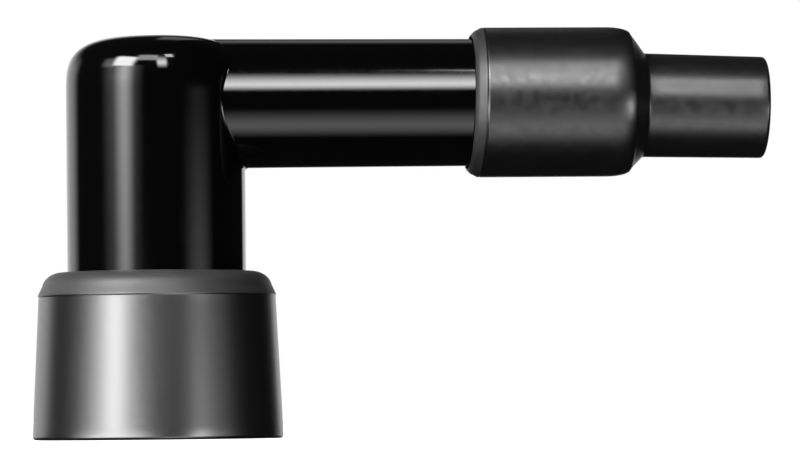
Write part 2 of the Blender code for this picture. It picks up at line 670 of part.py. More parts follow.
def thread_ridge(collection, parent, start):
    """A coarse thread as a helical ridge, made by the Screw modifier and closed at its ends."""
    mesh = bpy.data.meshes.new("thread_ridge")
    sketch = bmesh.new()
    root = SCREW_CORE_RADIUS - THREAD_SINK
    section = [(root, start + THREAD_ROOT_WIDTH), (THREAD_RADIUS, start + THREAD_ROOT_WIDTH / 2.0)]
    section.append((root, start))
    corners = [sketch.verts.new((radius, 0.0, height)) for radius, height in section]
    for first, second in zip(corners, corners[1:] + corners[:1]):
        sketch.edges.new((first, second))
    sketch.to_mesh(mesh)
    sketch.free()
    ridge = mesh_object("thread_ridge", mesh, collection, parent)
    turn = ridge.modifiers.new("Thread", "SCREW")
    turn.screw_offset = THREAD_PITCH
    turn.iterations = THREAD_TURNS
    turn.steps = SMALL_STEPS
    turn.render_steps = SMALL_STEPS
    bpy.context.view_layer.update()
    graph = bpy.context.evaluated_depsgraph_get()
    swept = bpy.data.meshes.new_from_object(ridge.evaluated_get(graph))
    shape = bmesh.new()
    shape.from_mesh(swept)
    open_edges = [edge for edge in shape.edges if edge.is_boundary]
    bmesh.ops.holes_fill(shape, edges=open_edges, sides=len(section))
    bmesh.ops.recalc_face_normals(shape, faces=shape.faces)
    shape.to_mesh(swept)
    shape.free()
    ridge.modifiers.clear()
    ridge.data = swept
    return as_cutter(ridge)


def make_cable_screw(parts, cutters, arm_axis, finish):
    """The brass screw that the lead is turned onto: contact nose, flange, threaded spike."""
    flange_radius = CABLE_BORE_RADIUS - FIT_GAP
    flange_end = SCREW_FLANGE_START + SCREW_FLANGE_THICKNESS
    shank_end = flange_end + SCREW_SHANK_LENGTH
    outline = [(0.0, shank_end + SCREW_POINT_LENGTH), (SCREW_POINT_RADIUS, shank_end + SCREW_POINT_LENGTH)]
    outline += [(SCREW_CORE_RADIUS, shank_end), (SCREW_CORE_RADIUS, flange_end)]
    outline += [(flange_radius, flange_end), (flange_radius, SCREW_FLANGE_START)]
    outline += [(SCREW_NOSE_RADIUS, SCREW_FLANGE_START), (SCREW_NOSE_RADIUS, SCREW_START)]
    outline.append((0.0, SCREW_START))
    screw = turned("cable_screw", outline, SMALL_STEPS, parts, arm_axis)
    thread_length = THREAD_TURNS * THREAD_PITCH + THREAD_ROOT_WIDTH
    thread_start = shank_end - thread_length - FIT_GAP
    combine(screw, thread_ridge(cutters, arm_axis, thread_start), "UNION")
    return settle(screw, finish)


def main():
    """Build every piece of the cap."""
    parts, cutters, plug_axis, arm_axis = start_scene()
    phenolic = material("black_phenolic", (0.006, 0.006, 0.007), 0.12, 0.0)
    rubber = material("black_rubber", (0.022, 0.022, 0.023), 0.45, 0.0)
    brass = material("brass", (0.72, 0.52, 0.22), 0.28, 1.0)
    steel = material("spring_steel", (0.56, 0.57, 0.58), 0.25, 1.0)
    ceramic = material("white_ceramic", (0.83, 0.80, 0.74), 0.40, 0.0)

    make_elbow(parts, cutters, plug_axis, arm_axis, phenolic)
    make_boot(parts, plug_axis, rubber)
    make_seal(parts, arm_axis, rubber)
    make_terminal(parts, cutters, plug_axis, brass)
    make_clip(parts, plug_axis, steel)
    make_insert(parts, cutters, plug_axis, brass)
    make_spring(parts, arm_axis, steel)
    make_resistor(parts, arm_axis, ceramic, brass)
    make_cable_screw(parts, cutters, arm_axis, brass)


main()
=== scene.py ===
"""Looks of a right-angle spark plug cap: glossy moulded elbow, rubber boot, rubber cable seal.

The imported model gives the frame. Its origin is the seat inside the brass terminal, the plug's axis is Z
and the cable arm runs along +X. Sizes are in metres, written as a number of MM.
"""

import logging
import math
from dataclasses import dataclass, field
from enum import Enum
from typing import Sequence

import bmesh
import bpy
import numpy as np
from mathutils import Matrix, Vector
from mathutils.kdtree import KDTree


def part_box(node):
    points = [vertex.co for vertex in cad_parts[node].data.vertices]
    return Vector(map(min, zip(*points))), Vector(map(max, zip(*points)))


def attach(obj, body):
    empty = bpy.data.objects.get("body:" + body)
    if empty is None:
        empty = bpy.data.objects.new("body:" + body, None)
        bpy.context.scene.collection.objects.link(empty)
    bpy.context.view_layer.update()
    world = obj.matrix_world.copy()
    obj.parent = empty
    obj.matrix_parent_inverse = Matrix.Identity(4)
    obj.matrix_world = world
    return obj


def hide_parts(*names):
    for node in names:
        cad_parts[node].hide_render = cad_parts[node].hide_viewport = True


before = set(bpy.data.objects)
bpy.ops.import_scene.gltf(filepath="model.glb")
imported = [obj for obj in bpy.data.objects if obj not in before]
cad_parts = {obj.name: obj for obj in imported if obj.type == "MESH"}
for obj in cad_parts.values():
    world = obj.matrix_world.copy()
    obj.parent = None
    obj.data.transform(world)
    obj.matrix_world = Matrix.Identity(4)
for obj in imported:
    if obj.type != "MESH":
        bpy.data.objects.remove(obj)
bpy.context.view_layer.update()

MM = 0.001
BODY = "root"
PHOTO_WIDTH = 800
SHARP_ANGLE = math.radians(32.0)
ROUND_SHARE = 0.45
MERGE_DISTANCE = 0.002 * MM
SKIN_MATCH = 0.004 * MM
DOME_SAMPLES = 600
BISECTIONS = 40
WIRE_END_RINGS = 4
NOISE_SPREAD = (0.3, 0.7)
SAME_SIDE = 0.7
RESISTOR = "suppressor_resistor"

Profile = list[tuple[float, float]]
log = logging.getLogger("spark_plug_cap")


class Slot(Enum):
    """Names of the material slots."""

    PHENOLIC = "phenolic"
    RUBBER = "rubber"
    BRASS = "brass"
    STEEL = "spring_steel"
    CERAMIC = "ceramic"


class Axis(Enum):
    """The two axes that the pieces are turned about."""

    PLUG = "plug"
    ARM = "arm"


@dataclass(frozen=True)
class Corner:
    """A corner of a turned outline, at a radius and a place along the axis, rounded off."""

    radius: float
    place: float
    round: float = 0.0


def rounded(corners: Sequence[Corner], rings: int = 5, closed: bool = True) -> Profile:
    """Replace each rounded corner of an outline by an arc that touches both of its sides.

    Args:
        corners: the corners in order.
        rings: the number of steps in each arc.
        closed: whether the last corner joins the first.

    Returns:
        The (radius, place) points of the outline.
    """
    points: Profile = []
    count = len(corners)
    for index, corner in enumerate(corners):
        here = Vector((corner.radius, corner.place))
        inner = closed or 0 < index < count - 1
        if corner.round <= 0.0 or not inner:
            points.append(tuple(here))
            continue
        before = corners[index - 1]
        after = corners[(index + 1) % count]
        back = Vector((before.radius, before.place)) - here
        ahead = Vector((after.radius, after.place)) - here
        half = back.angle(ahead) / 2.0
        longest = ROUND_SHARE * min(back.length, ahead.length)
        reach = min(corner.round / math.tan(half), longest)
        radius = reach * math.tan(half)
        middle = (back.normalized() + ahead.normalized()).normalized()
        centre = here + middle * (radius / math.sin(half))
        start = here + back.normalized() * reach - centre
        sweep = start.angle_signed(here + ahead.normalized() * reach - centre)
        for ring in range(rings + 1):
            arm = start.copy()
            arm.rotate(Matrix.Rotation(-sweep * ring / rings, 2))
            points.append(tuple(centre + arm))
    return points


def ellipse_arc(centre: tuple[float, float], radii: tuple[float, float], start: float,
                end: float, rings: int) -> list[Corner]:
    """Corners along part of an ellipse in an outline.

    Args:
        centre: the ellipse's centre as (radius, place).
        radii: its half widths across and along the axis.
        start: the first angle in degrees, 0 pointing away from the axis.
        end: the last angle in degrees.
        rings: the number of steps.

    Returns:
        The corners from start to end.
    """
    corners = []
    for ring in range(rings + 1):
        turn = math.radians(start + (end - start) * ring / rings)
        radius = centre[0] + radii[0] * math.cos(turn)
        corners.append(Corner(radius, centre[1] + radii[1] * math.sin(turn)))
    return corners


def stepped(outline: Profile, longest: float, closed: bool = True) -> Profile:
    """Split the long sides of an outline, so that no side is longer than a given length."""
    points: Profile = []
    ends = outline[1:] + outline[:1] if closed else outline[1:]
    for (radius, place), (next_radius, next_place) in zip(outline, ends):
        parts = max(1, math.ceil(math.hypot(next_radius - radius, next_place - place) / longest))
        for share in (part / parts for part in range(parts)):
            along = place + share * (next_place - place)
            points.append((radius + share * (next_radius - radius), along))
    if not closed:
        points.append(outline[-1])
    return points


def on_axis(axis: Axis, radius: float, turn: float, place: float, arm_height: float) -> tuple:
    """A point at a radius, an angle and a place along the plug's axis or the arm's axis."""
    across = radius * math.cos(turn)
    side = radius * math.sin(turn)
    if axis is Axis.PLUG:
        return (across, side, place)
    return (place, side, arm_height - across)


def finished(name: str, shape: bmesh.types.BMesh) -> bpy.types.Mesh:
    """Turn a shape into a mesh and free it."""
    mesh = bpy.data.meshes.new(name)
    shape.to_mesh(mesh)
    shape.free()
    return mesh


def smooth(mesh: bpy.types.Mesh, sharp: float = SHARP_ANGLE) -> None:
    """Shade a mesh smooth, with sharp edges where it bends by more than an angle."""
    mesh.shade_smooth()
    mesh.set_sharp_from_angle(angle=sharp)


def middle_height(node: str) -> float:
    """The height of the middle of a CAD node."""
    low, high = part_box(node)
    return (low.z + high.z) / 2.0


def turned_mesh(name: str, outline: Profile, steps: int, axis: Axis = Axis.PLUG,
                arm_height: float = 0.0) -> bpy.types.Mesh:
    """Turn an outline about an axis into a closed mesh with its faces pointing out.

    Args:
        name: the mesh's name.
        outline: (radius, place) points; an outline that starts and ends on the axis is left open.
        steps: the number of steps round the axis.
        axis: the axis that it turns about.
        arm_height: the height of the arm's axis, which only a piece on that axis needs.

    Returns:
        The mesh, shaded smooth with sharp edges where the outline bends sharply.
    """
    solid = outline[0][0] == 0.0 and outline[-1][0] == 0.0
    shape = bmesh.new()
    rings = []
    for radius, place in outline:
        if radius == 0.0:
            rings.append([shape.verts.new(on_axis(axis, 0.0, 0.0, place, arm_height))])
            continue
        turns = (2.0 * math.pi * step / steps for step in range(steps))
        points = (on_axis(axis, radius, turn, place, arm_height) for turn in turns)
        rings.append([shape.verts.new(point) for point in points])
    for this, following in zip(rings, rings[1:] if solid else rings[1:] + rings[:1]):
        for step in range(steps):
            ahead = (step + 1) % steps
            loop = [this[step % len(this)], this[ahead % len(this)]]
            loop += [following[ahead % len(following)], following[step % len(following)]]
            shape.faces.new(list(dict.fromkeys(loop)))
    bmesh.ops.recalc_face_normals(shape, faces=shape.faces)
    mesh = finished(name, shape)
    smooth(mesh)
    return mesh


def swept_mesh(name: str, path: Sequence[Vector], radius: float, sides: int) -> bpy.types.Mesh:
    """Sweep a round wire with domed ends along a path of points.

    Args:
        name: the mesh's name.
        path: the points that the wire's centre follows.
        radius: the wire's radius.
        sides: the number of sides of its section.

    Returns:
        The closed mesh.
    """
    tangents = []
    for index in range(len(path)):
        ahead = path[min(index + 1, len(path) - 1)]
        tangents.append((ahead - path[max(index - 1, 0)]).normalized())
    side = tangents[0].orthogonal().normalized()
    frames = []
    for tangent in tangents:
        side = (side - tangent * side.dot(tangent)).normalized()
        frames.append((side, tangent.cross(side)))
    turns = [math.radians(90.0 * ring / WIRE_END_RINGS) for ring in range(1, WIRE_END_RINGS + 1)]
    stations = []
    for turn in turns:
        shift = -tangents[0] * radius * math.cos(turn)
        stations.append((path[0] + shift, frames[0], radius * math.sin(turn)))
    stations += [(point, basis, radius) for point, basis in zip(path[1:-1], frames[1:-1])]
    for turn in reversed(turns):
        shift = tangents[-1] * radius * math.cos(turn)
        stations.append((path[-1] + shift, frames[-1], radius * math.sin(turn)))
    shape = bmesh.new()
    rings = []
    for centre, (first, second), size in stations:
        ring = []
        for turn in (2.0 * math.pi * step / sides for step in range(sides)):
            point = centre + size * (first * math.cos(turn) + second * math.sin(turn))
            ring.append(shape.verts.new(point))
        rings.append(ring)
    for this, following in zip(rings, rings[1:]):
        for step in range(sides):
            ahead = (step + 1) % sides
            shape.faces.new((this[step], this[ahead], following[ahead], following[step]))
    ends = (path[0] - tangents[0] * radius, path[-1] + tangents[-1] * radius)
    for ring, end in zip((rings[0], rings[-1]), ends):
        pole = shape.verts.new(end)
        for step in range(sides):
            shape.faces.new((ring[step], ring[(step + 1) % sides], pole))
    bmesh.ops.recalc_face_normals(shape, faces=shape.faces)
    mesh = finished(name, shape)
    mesh.shade_smooth()
    return mesh


def box_mesh(name: str, low: Vector, high: Vector) -> bpy.types.Mesh:
    """A closed box between two corners."""
    shape = bmesh.new()
    bmesh.ops.create_cube(shape, size=1.0)
    for corner in shape.verts:
        offset = Vector(side * span for side, span in zip(corner.co, high - low))
        corner.co = (low + high) / 2.0 + offset
    return finished(name, shape)


def new_piece(name: str, mesh: bpy.types.Mesh) -> bpy.types.Object:
    """Link a new object for a mesh."""
    piece = bpy.data.objects.new(name, mesh)
    bpy.context.scene.collection.objects.link(piece)
    return piece


def cut_or_join(piece: bpy.types.Object, tool: bpy.types.Mesh, operation: str) -> None:
    """Cut a tool's shape out of a piece or join it to the piece, and apply the result.

    Args:
        piece: the object that changes.
        tool: the mesh that cuts or joins.
        operation: "UNION" or "DIFFERENCE".
    """
    helper = new_piece(tool.name, tool)
    step = piece.modifiers.new(tool.name, "BOOLEAN")
    step.object = helper
    step.operation = operation
    step.solver = "EXACT"
    bpy.context.view_layer.update()
    graph = bpy.context.evaluated_depsgraph_get()
    mesh = bpy.data.meshes.new_from_object(piece.evaluated_get(graph))
    mesh.name = piece.name
    piece.modifiers.clear()
    piece.data = mesh
    bpy.data.objects.remove(helper, do_unlink=True)


def install(piece: bpy.types.Object, finish: bpy.types.Material,
            node: str) -> bpy.types.Object:
    """Give a piece its finish, let it ride on the body and stand for its CAD node."""
    piece.data.materials.clear()
    piece.data.materials.append(finish)
    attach(piece, BODY)
    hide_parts(node)
    log.info("%s stands for %s with %d faces", piece.name, node, len(piece.data.polygons))
    return piece


class ShaderSketch:
    """A Principled material under construction, in the object's own coordinates."""

    def __init__(self, name: str) -> None:
        """Start the material with its shader and its coordinates."""
        self.material = bpy.data.materials.new(name)
        self.material.use_nodes = True
        self.tree = self.material.node_tree
        self.shader = self.tree.nodes["Principled BSDF"]
        self.place = self.add("ShaderNodeTexCoord").outputs["Object"]

    def add(self, kind: str, **settings: object) -> bpy.types.Node:
        """Add a node and set its own settings."""
        node = self.tree.nodes.new(kind)
        for key, value in settings.items():
            setattr(node, key, value)
        return node

    def join(self, source: bpy.types.NodeSocket, target: bpy.types.NodeSocket) -> None:
        """Link two sockets."""
        self.tree.links.new(source, target)

    def feed(self, **sources: bpy.types.NodeSocket) -> None:
        """Link sockets to the shader's, named with _ for a space."""
        for key, source in sources.items():
            self.join(source, self.shader.inputs[key.replace("_", " ")])

    def set(self, **values: float) -> None:
        """Set sockets of the shader, named with _ for a space."""
        for key, value in values.items():
            self.shader.inputs[key.replace("_", " ")].default_value = value

    def stretched(self, scale: tuple[float, float, float]) -> bpy.types.NodeSocket:
        """The object's coordinates, scaled along each axis."""
        mapping = self.add("ShaderNodeMapping")
        mapping.inputs["Scale"].default_value = scale
        self.join(self.place, mapping.inputs["Vector"])
        return mapping.outputs["Vector"]

    def noise(self, size: float, detail: float = 3.0, rough: float = 0.5,
              stretch: tuple[float, float, float] = (1.0, 1.0, 1.0)) -> bpy.types.NodeSocket:
        """Soft noise whose blobs have a given size.

        Args:
            size: the size of a blob in metres.
            detail: the number of finer octaves.
            rough: how strong the finer octaves are.
            stretch: a scale along each axis, under 1 to draw the blobs out.

        Returns:
            The noise's value, about 0.5 on average.
        """
        node = self.add("ShaderNodeTexNoise")
        node.inputs["Scale"].default_value = 1.0 / size
        node.inputs["Detail"].default_value = detail
        node.inputs["Roughness"].default_value = rough
        self.join(self.stretched(stretch), node.inputs["Vector"])
        return node.outputs["Fac"]

    def cells(self, size: float) -> bpy.types.NodeSocket:
        """Distances in a field of cells of a given size."""
        node = self.add("ShaderNodeTexVoronoi", feature="F1")
        node.inputs["Scale"].default_value = 1.0 / size
        self.join(self.place, node.inputs["Vector"])
        return node.outputs["Distance"]

    def mapped(self, value: bpy.types.NodeSocket, low: float, high: float, to_low: float,
               to_high: float) -> bpy.types.NodeSocket:
        """A value brought smoothly from one range to another."""
        node = self.add("ShaderNodeMapRange", interpolation_type="SMOOTHSTEP")
        ends = {"From Min": low, "From Max": high, "To Min": to_low, "To Max": to_high}
        for key, number in ends.items():
            node.inputs[key].default_value = number
        self.join(value, node.inputs["Value"])
        return node.outputs["Result"]

    def math(self, operation: str, first: bpy.types.NodeSocket,
             second: bpy.types.NodeSocket | float) -> bpy.types.NodeSocket:
        """Two values combined by a Math node."""
        node = self.add("ShaderNodeMath", operation=operation)
        self.join(first, node.inputs[0])
        if isinstance(second, bpy.types.NodeSocket):
            self.join(second, node.inputs[1])
        else:
            node.inputs[1].default_value = second
        return node.outputs["Value"]

    def coordinate(self, axis: str) -> bpy.types.NodeSocket:
        """One of the object's coordinates, named X, Y or Z."""
        node = self.add("ShaderNodeSeparateXYZ")
        self.join(self.place, node.inputs["Vector"])
        return node.outputs[axis]

    def blend(self, share: bpy.types.NodeSocket, first: tuple | bpy.types.NodeSocket,
              second: tuple | bpy.types.NodeSocket) -> bpy.types.NodeSocket:
        """Two colours mixed by a share."""
        node = self.add("ShaderNodeMix", data_type="RGBA")
        for key, colour in (("A", first), ("B", second)):
            if isinstance(colour, tuple):
                node.inputs[key].default_value = (*colour, 1.0)
            else:
                self.join(colour, node.inputs[key])
        self.join(share, node.inputs["Factor"])
        return node.outputs["Result"]

    def along(self, direction: tuple[float, float, float]) -> bpy.types.NodeSocket:
        """How far a point lies along a direction."""
        node = self.add("ShaderNodeVectorMath", operation="DOT_PRODUCT")
        self.join(self.place, node.inputs[0])
        node.inputs[1].default_value = direction
        return node.outputs["Value"]

    def bumps(self, *layers: tuple[bpy.types.NodeSocket, float]) -> None:
        """Stack bump layers, each a height and its depth in metres, on the shader's normal."""
        below = None
        for height, depth in layers:
            node = self.add("ShaderNodeBump")
            node.inputs["Strength"].default_value = 1.0
            node.inputs["Distance"].default_value = depth
            self.join(height, node.inputs["Height"])
            if below is not None:
                self.join(below, node.inputs["Normal"])
            below = node.outputs["Normal"]
        self.feed(Normal=below)


@dataclass(frozen=True)
class PhenolicFinish:
    """Glossy moulded black, with faint moulding waves, a fine haze and the mould's parting line."""

    dark: tuple = (0.00025, 0.00025, 0.00028)
    light: tuple = (0.0005, 0.0005, 0.00056)
    gloss: tuple = (0.06, 0.10)
    index: float = 1.58
    cloud_size: float = 2.6 * MM
    sheen_size: float = 0.9 * MM
    wave_size: float = 4.0 * MM
    wave_depth: float = 0.0035 * MM
    haze_size: float = 0.16 * MM
    haze_depth: float = 0.00025 * MM
    line_half_width: float = 0.05 * MM
    line_depth: float = 0.012 * MM

    def make(self) -> bpy.types.Material:
        """Build the material."""
        sketch = ShaderSketch("phenolic_gloss")
        sketch.set(IOR=self.index)
        cloud = sketch.noise(self.cloud_size, detail=4.0)
        sketch.feed(Base_Color=sketch.blend(cloud, self.dark, self.light))
        sheen = sketch.noise(self.sheen_size, detail=6.0, rough=0.6)
        sketch.feed(Roughness=sketch.mapped(sheen, *NOISE_SPREAD, *self.gloss))
        side = sketch.math("ABSOLUTE", sketch.coordinate("Y"), 0.0)
        line = sketch.mapped(side, 0.0, self.line_half_width, 1.0, 0.0)
        waves = sketch.noise(self.wave_size, detail=1.0)
        grain = sketch.noise(self.haze_size, detail=2.0)
        sketch.bumps((waves, self.wave_depth), (grain, self.haze_depth), (line, self.line_depth))
        return sketch.material


@dataclass(frozen=True)
class SkinZone:
    """The part of a rubber skin before a border plane, with its own tone and polish."""

    across: tuple
    border: float
    index: float
    roughness_change: float
    dark: tuple
    light: tuple
    softness: float = 0.08 * MM


@dataclass(frozen=True)
class RubberFinish:
    """Semi-matte moulded rubber: fine grain, faint mottling, a satin reflection and one other zone."""

    name: str
    satin: tuple
    satin_size: float
    index: float
    dark: tuple
    light: tuple
    zone: SkinZone
    grain_size: float = 0.11 * MM
    grain_depth: float = 0.0007 * MM
    mottle_size: float = 1.3 * MM
    mottle_depth: float = 0.0035 * MM

    def make(self) -> bpy.types.Material:
        """Build the material."""
        zone = self.zone
        sketch = ShaderSketch(self.name)
        sketch.set(IOR=self.index)
        cloud = sketch.noise(self.mottle_size, detail=5.0, rough=0.6)
        tone = sketch.blend(cloud, self.dark, self.light)
        zone_tone = sketch.blend(cloud, zone.dark, zone.light)
        satin = sketch.noise(self.satin_size, detail=6.0, rough=0.65)
        satin = sketch.mapped(satin, *NOISE_SPREAD, *self.satin)
        place = sketch.along(zone.across)
        edge = (zone.border - zone.softness, zone.border + zone.softness)
        change = sketch.mapped(place, *edge, zone.roughness_change, 0.0)
        sketch.feed(
            IOR=sketch.mapped(place, *edge, zone.index, self.index),
            Roughness=sketch.math("ADD", satin, change),
            Base_Color=sketch.blend(sketch.mapped(place, *edge, 0.0, 1.0), zone_tone, tone),
        )
        mottle = sketch.noise(self.mottle_size, detail=3.0)
        grain = sketch.noise(self.grain_size, detail=4.0, rough=0.6)
        sketch.bumps((mottle, self.mottle_depth), (grain, self.grain_depth))
        return sketch.material


@dataclass(frozen=True)
class MetalFinish:
    """Turned or drawn metal: fine tool lines across the axis and a slightly uneven tone."""

    name: str
    dark: tuple
    light: tuple
    gloss: tuple
    line_size: float
    stretch: tuple
    line_depth: float = 0.0012 * MM
    tone_size: float = 1.1 * MM
    wear_size: float = 0.35 * MM

    def make(self) -> bpy.types.Material:
        """Build the material."""
        sketch = ShaderSketch(self.name)
        sketch.set(Metallic=1.0)
        tone = sketch.noise(self.tone_size, detail=5.0, rough=0.6)
        wear = sketch.noise(self.wear_size, detail=4.0)
        sketch.feed(
            Base_Color=sketch.blend(tone, self.dark, self.light),
            Roughness=sketch.mapped(wear, *NOISE_SPREAD, *self.gloss),
        )
        lines = sketch.noise(self.line_size, detail=2.0, stretch=self.stretch)
        sketch.bumps((lines, self.line_depth))
        return sketch.material


@dataclass(frozen=True)
class CeramicFinish:
    """Fired off-white ceramic with a fine tooth and small dark specks."""

    body: tuple = (0.80, 0.77, 0.70)
    warm: tuple = (0.70, 0.64, 0.54)
    tooth: tuple = (0.45, 0.62)
    cloud_size: float = 1.8 * MM
    fleck_spacing: float = 0.55 * MM
    fleck_edge: tuple = (0.06, 0.12)
    grain_size: float = 0.07 * MM
    grain_depth: float = 0.003 * MM

    def make(self) -> bpy.types.Material:
        """Build the material."""
        sketch = ShaderSketch("fired_ceramic")
        cloud = sketch.noise(self.cloud_size, detail=5.0)
        fleck = sketch.mapped(sketch.cells(self.fleck_spacing), *self.fleck_edge, 1.0, 0.0)
        share = sketch.math("MAXIMUM", cloud, fleck)
        sketch.feed(
            Base_Color=sketch.blend(share, self.body, self.warm),
            Roughness=sketch.mapped(cloud, *NOISE_SPREAD, *self.tooth),
        )
        sketch.bumps((sketch.noise(self.grain_size, detail=4.0), self.grain_depth))
        return sketch.material


class BarrelSkin:
    """The barrel's outer surface: its outline, its distance from a point and its normal."""

    def __init__(self, radius: float, crown: float, foot: float, dome_height: float,
                 exponent: float) -> None:
        """Keep the sizes and sample the outline finely."""
        self.radius = radius
        self.crown = crown
        self.foot = foot
        self.dome_height = dome_height
        self.exponent = exponent
        self.base = crown - dome_height
        self.points = np.array(self.dome(DOME_SAMPLES) + [(radius, foot)])

    def dome(self, rings: int) -> Profile:
        """Points (radius, height) along the dome, from the crown to the top of the straight barrel."""
        points: Profile = [(0.0, self.crown)]
        power = 2.0 / self.exponent
        for ring in range(1, rings):
            turn = math.radians(90.0 * ring / rings)
            height = self.base + self.dome_height * math.cos(turn) ** power
            points.append((self.radius * math.sin(turn) ** power, height))
        points.append((self.radius, self.base))
        return points

    def nearest(self, place: Vector) -> tuple[Vector, float]:
        """The surface point nearest to a place.

        Args:
            place: the point.

        Returns:
            The nearest point, and its distance, which is negative inside the barrel.
        """
        radial = math.hypot(place.x, place.y)
        target = np.array((radial, place.z))
        starts = self.points[:-1]
        spans = self.points[1:] - starts
        along = ((target - starts) * spans).sum(axis=1) / (spans * spans).sum(axis=1)
        feet = starts + np.clip(along, 0.0, 1.0)[:, None] * spans
        gaps = np.hypot(feet[:, 0] - radial, feet[:, 1] - place.z)
        best = int(gaps.argmin())
        around = math.atan2(place.y, place.x)
        out = feet[best, 0]
        foot = Vector((out * math.cos(around), out * math.sin(around), feet[best, 1]))
        edge = float(np.interp(-place.z, -self.points[:, 1], self.points[:, 0]))
        inside = place.z < self.crown and radial < edge
        return foot, -float(gaps[best]) if inside else float(gaps[best])

    def normal(self, place: Vector) -> Vector:
        """The outward normal at a point of the surface."""
        radial = math.hypot(place.x, place.y)
        if radial < MERGE_DISTANCE:
            return Vector((0.0, 0.0, 1.0))
        out = Vector((place.x / radial, place.y / radial, 0.0))
        if place.z <= self.base:
            return out
        across = (radial / self.radius) ** (self.exponent - 1.0) / self.radius
        up = ((place.z - self.base) / self.dome_height) ** (self.exponent - 1.0) / self.dome_height
        return (out * across + Vector((0.0, 0.0, up))).normalized()


@dataclass
class Elbow:
    """The moulded elbow: domed barrel, drafted arm, and the rolling-ball fillet between them."""

    barrel_radius: float
    crown: float
    foot: float
    arm_height: float
    arm_reach: float
    well_radius: float
    well_top: float
    channel_radius: float
    cable_bore_radius: float
    cable_bore_start: float
    dome_height: float = 6.2 * MM
    dome_exponent: float = 3.4
    arm_root_radius: float = 7.0 * MM
    arm_tip_radius: float = 6.85 * MM
    fillet: float = 0.5 * MM
    foot_round: float = 0.5 * MM
    tip_round: float = 0.4 * MM
    tip_length: float = 2.0 * MM
    screw_overlap: float = 0.5 * MM
    overcut: float = 1.0 * MM
    bore_radius: float = 5.6 * MM
    bore_top: float = -0.3 * MM
    barrel_steps: int = 224
    arm_steps: int = 192
    bore_steps: int = 72
    dome_rings: int = 44
    fillet_rings: int = 10
    longest_side: float = 1.2 * MM
    skin: BarrelSkin = field(init=False)

    def __post_init__(self) -> None:
        """Make the skin that the fillet rolls on."""
        self.skin = BarrelSkin(self.barrel_radius, self.crown, self.foot, self.dome_height,
                               self.dome_exponent)

    @classmethod
    def from_frame(cls) -> "Elbow":
        """Read the sizes that the CAD elbow and the pieces in it give."""
        low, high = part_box("elbow_body")
        insert_low, insert_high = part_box("elbow_insert")
        screw_low, screw_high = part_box("cable_screw")
        cap_low, cap_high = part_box("resistor_cap_outer")
        gap = insert_low.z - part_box("plug_terminal")[1].z
        return cls(
            barrel_radius=high.y,
            crown=high.z,
            foot=low.z,
            arm_height=middle_height(RESISTOR),
            arm_reach=high.x,
            well_top=insert_high.z + gap,
            well_radius=insert_high.y + gap,
            channel_radius=(cap_high.z - cap_low.z) / 2.0 + gap,
            cable_bore_radius=screw_high.y + gap,
            cable_bore_start=screw_low.x + cls.screw_overlap,
        )

    def arm_radius(self, place: float) -> float:
        """Radius of the drafted arm at a distance from the plug's axis."""
        draft = self.arm_tip_radius - self.arm_root_radius
        return self.arm_root_radius + place / self.arm_reach * draft

    def fillet_section(self, angle: float) -> tuple[list[Vector], list[Vector]]:
        """One section of the fillet, found by rolling a ball along the arm onto the barrel.

        Args:
            angle: the section's angle round the arm.

        Returns:
            The points from the arm to just inside the barrel, and their normals.
        """
        outward = Vector((0.0, math.cos(angle), math.sin(angle)))

        def ball_centre(place: float) -> Vector:
            """The ball's centre when it touches the arm at a place along it."""
            reach = self.arm_radius(place) + self.fillet
            return Vector((place, 0.0, self.arm_height)) + outward * reach

        near = 0.0
        far = self.barrel_radius + 4.0 * self.fillet
        for _ in range(BISECTIONS):
            middle = (near + far) / 2.0
            if self.skin.nearest(ball_centre(middle))[1] < self.fillet:
                near = middle
            else:
                far = middle
        centre = ball_centre(far)
        foot = self.skin.nearest(centre)[0]
        start = -outward
        end = (foot - centre).normalized()
        sweep = start.angle(end)
        points = []
        normals = []
        for ring in range(self.fillet_rings + 1):
            share = ring / self.fillet_rings
            spoke = start * math.sin((1.0 - share) * sweep) + end * math.sin(share * sweep)
            spoke.normalize()
            points.append(centre + spoke * self.fillet)
            normals.append(-spoke)
        points.append(foot + end * self.fillet)
        normals.append(-end)
        return points, normals

    def arm_mesh(self) -> tuple[bpy.types.Mesh, list[Vector], list[Vector]]:
        """The arm as a loft of rings, whose last rings flare into the domed barrel.

        Returns:
            The mesh, and the points and normals of its outer surface.
        """
        shape = bmesh.new()
        tip_start = self.arm_reach - self.tip_length
        tip = [
            Corner(0.0, self.arm_reach),
            Corner(self.arm_tip_radius, self.arm_reach, self.tip_round),
            Corner(self.arm_radius(tip_start), tip_start),
        ]
        start = rounded(tip, closed=False)[1:]
        length = tip_start - (self.barrel_radius + 3.0 * self.fillet)
        count = math.ceil(length / self.longest_side)
        for ring in range(1, count):
            place = tip_start - length * ring / count
            start.append((self.arm_radius(place), place))
        points: list[Vector] = []
        normals: list[Vector] = []
        sections = []
        for step in range(self.arm_steps):
            angle = 2.0 * math.pi * step / self.arm_steps
            outward = Vector((0.0, math.cos(angle), math.sin(angle)))
            section = [Vector((place, 0.0, self.arm_height)) + outward * radius
                       for radius, place in start]
            flare, flare_normals = self.fillet_section(angle)
            points += section[-count:] + flare
            normals += [outward] * count + flare_normals
            sections.append([shape.verts.new(point) for point in section + flare])
        tip_centre = shape.verts.new((self.arm_reach, 0.0, self.arm_height))
        root = shape.verts.new((self.barrel_radius / 3.0, 0.0, self.arm_height))
        for this, following in zip(sections, sections[1:] + sections[:1]):
            for ring in range(len(this) - 1):
                shape.faces.new((this[ring], this[ring + 1], following[ring + 1], following[ring]))
            shape.faces.new((tip_centre, this[0], following[0]))
            shape.faces.new((root, following[-1], this[-1]))
        bmesh.ops.recalc_face_normals(shape, faces=shape.faces)
        return finished("arm", shape), points, normals

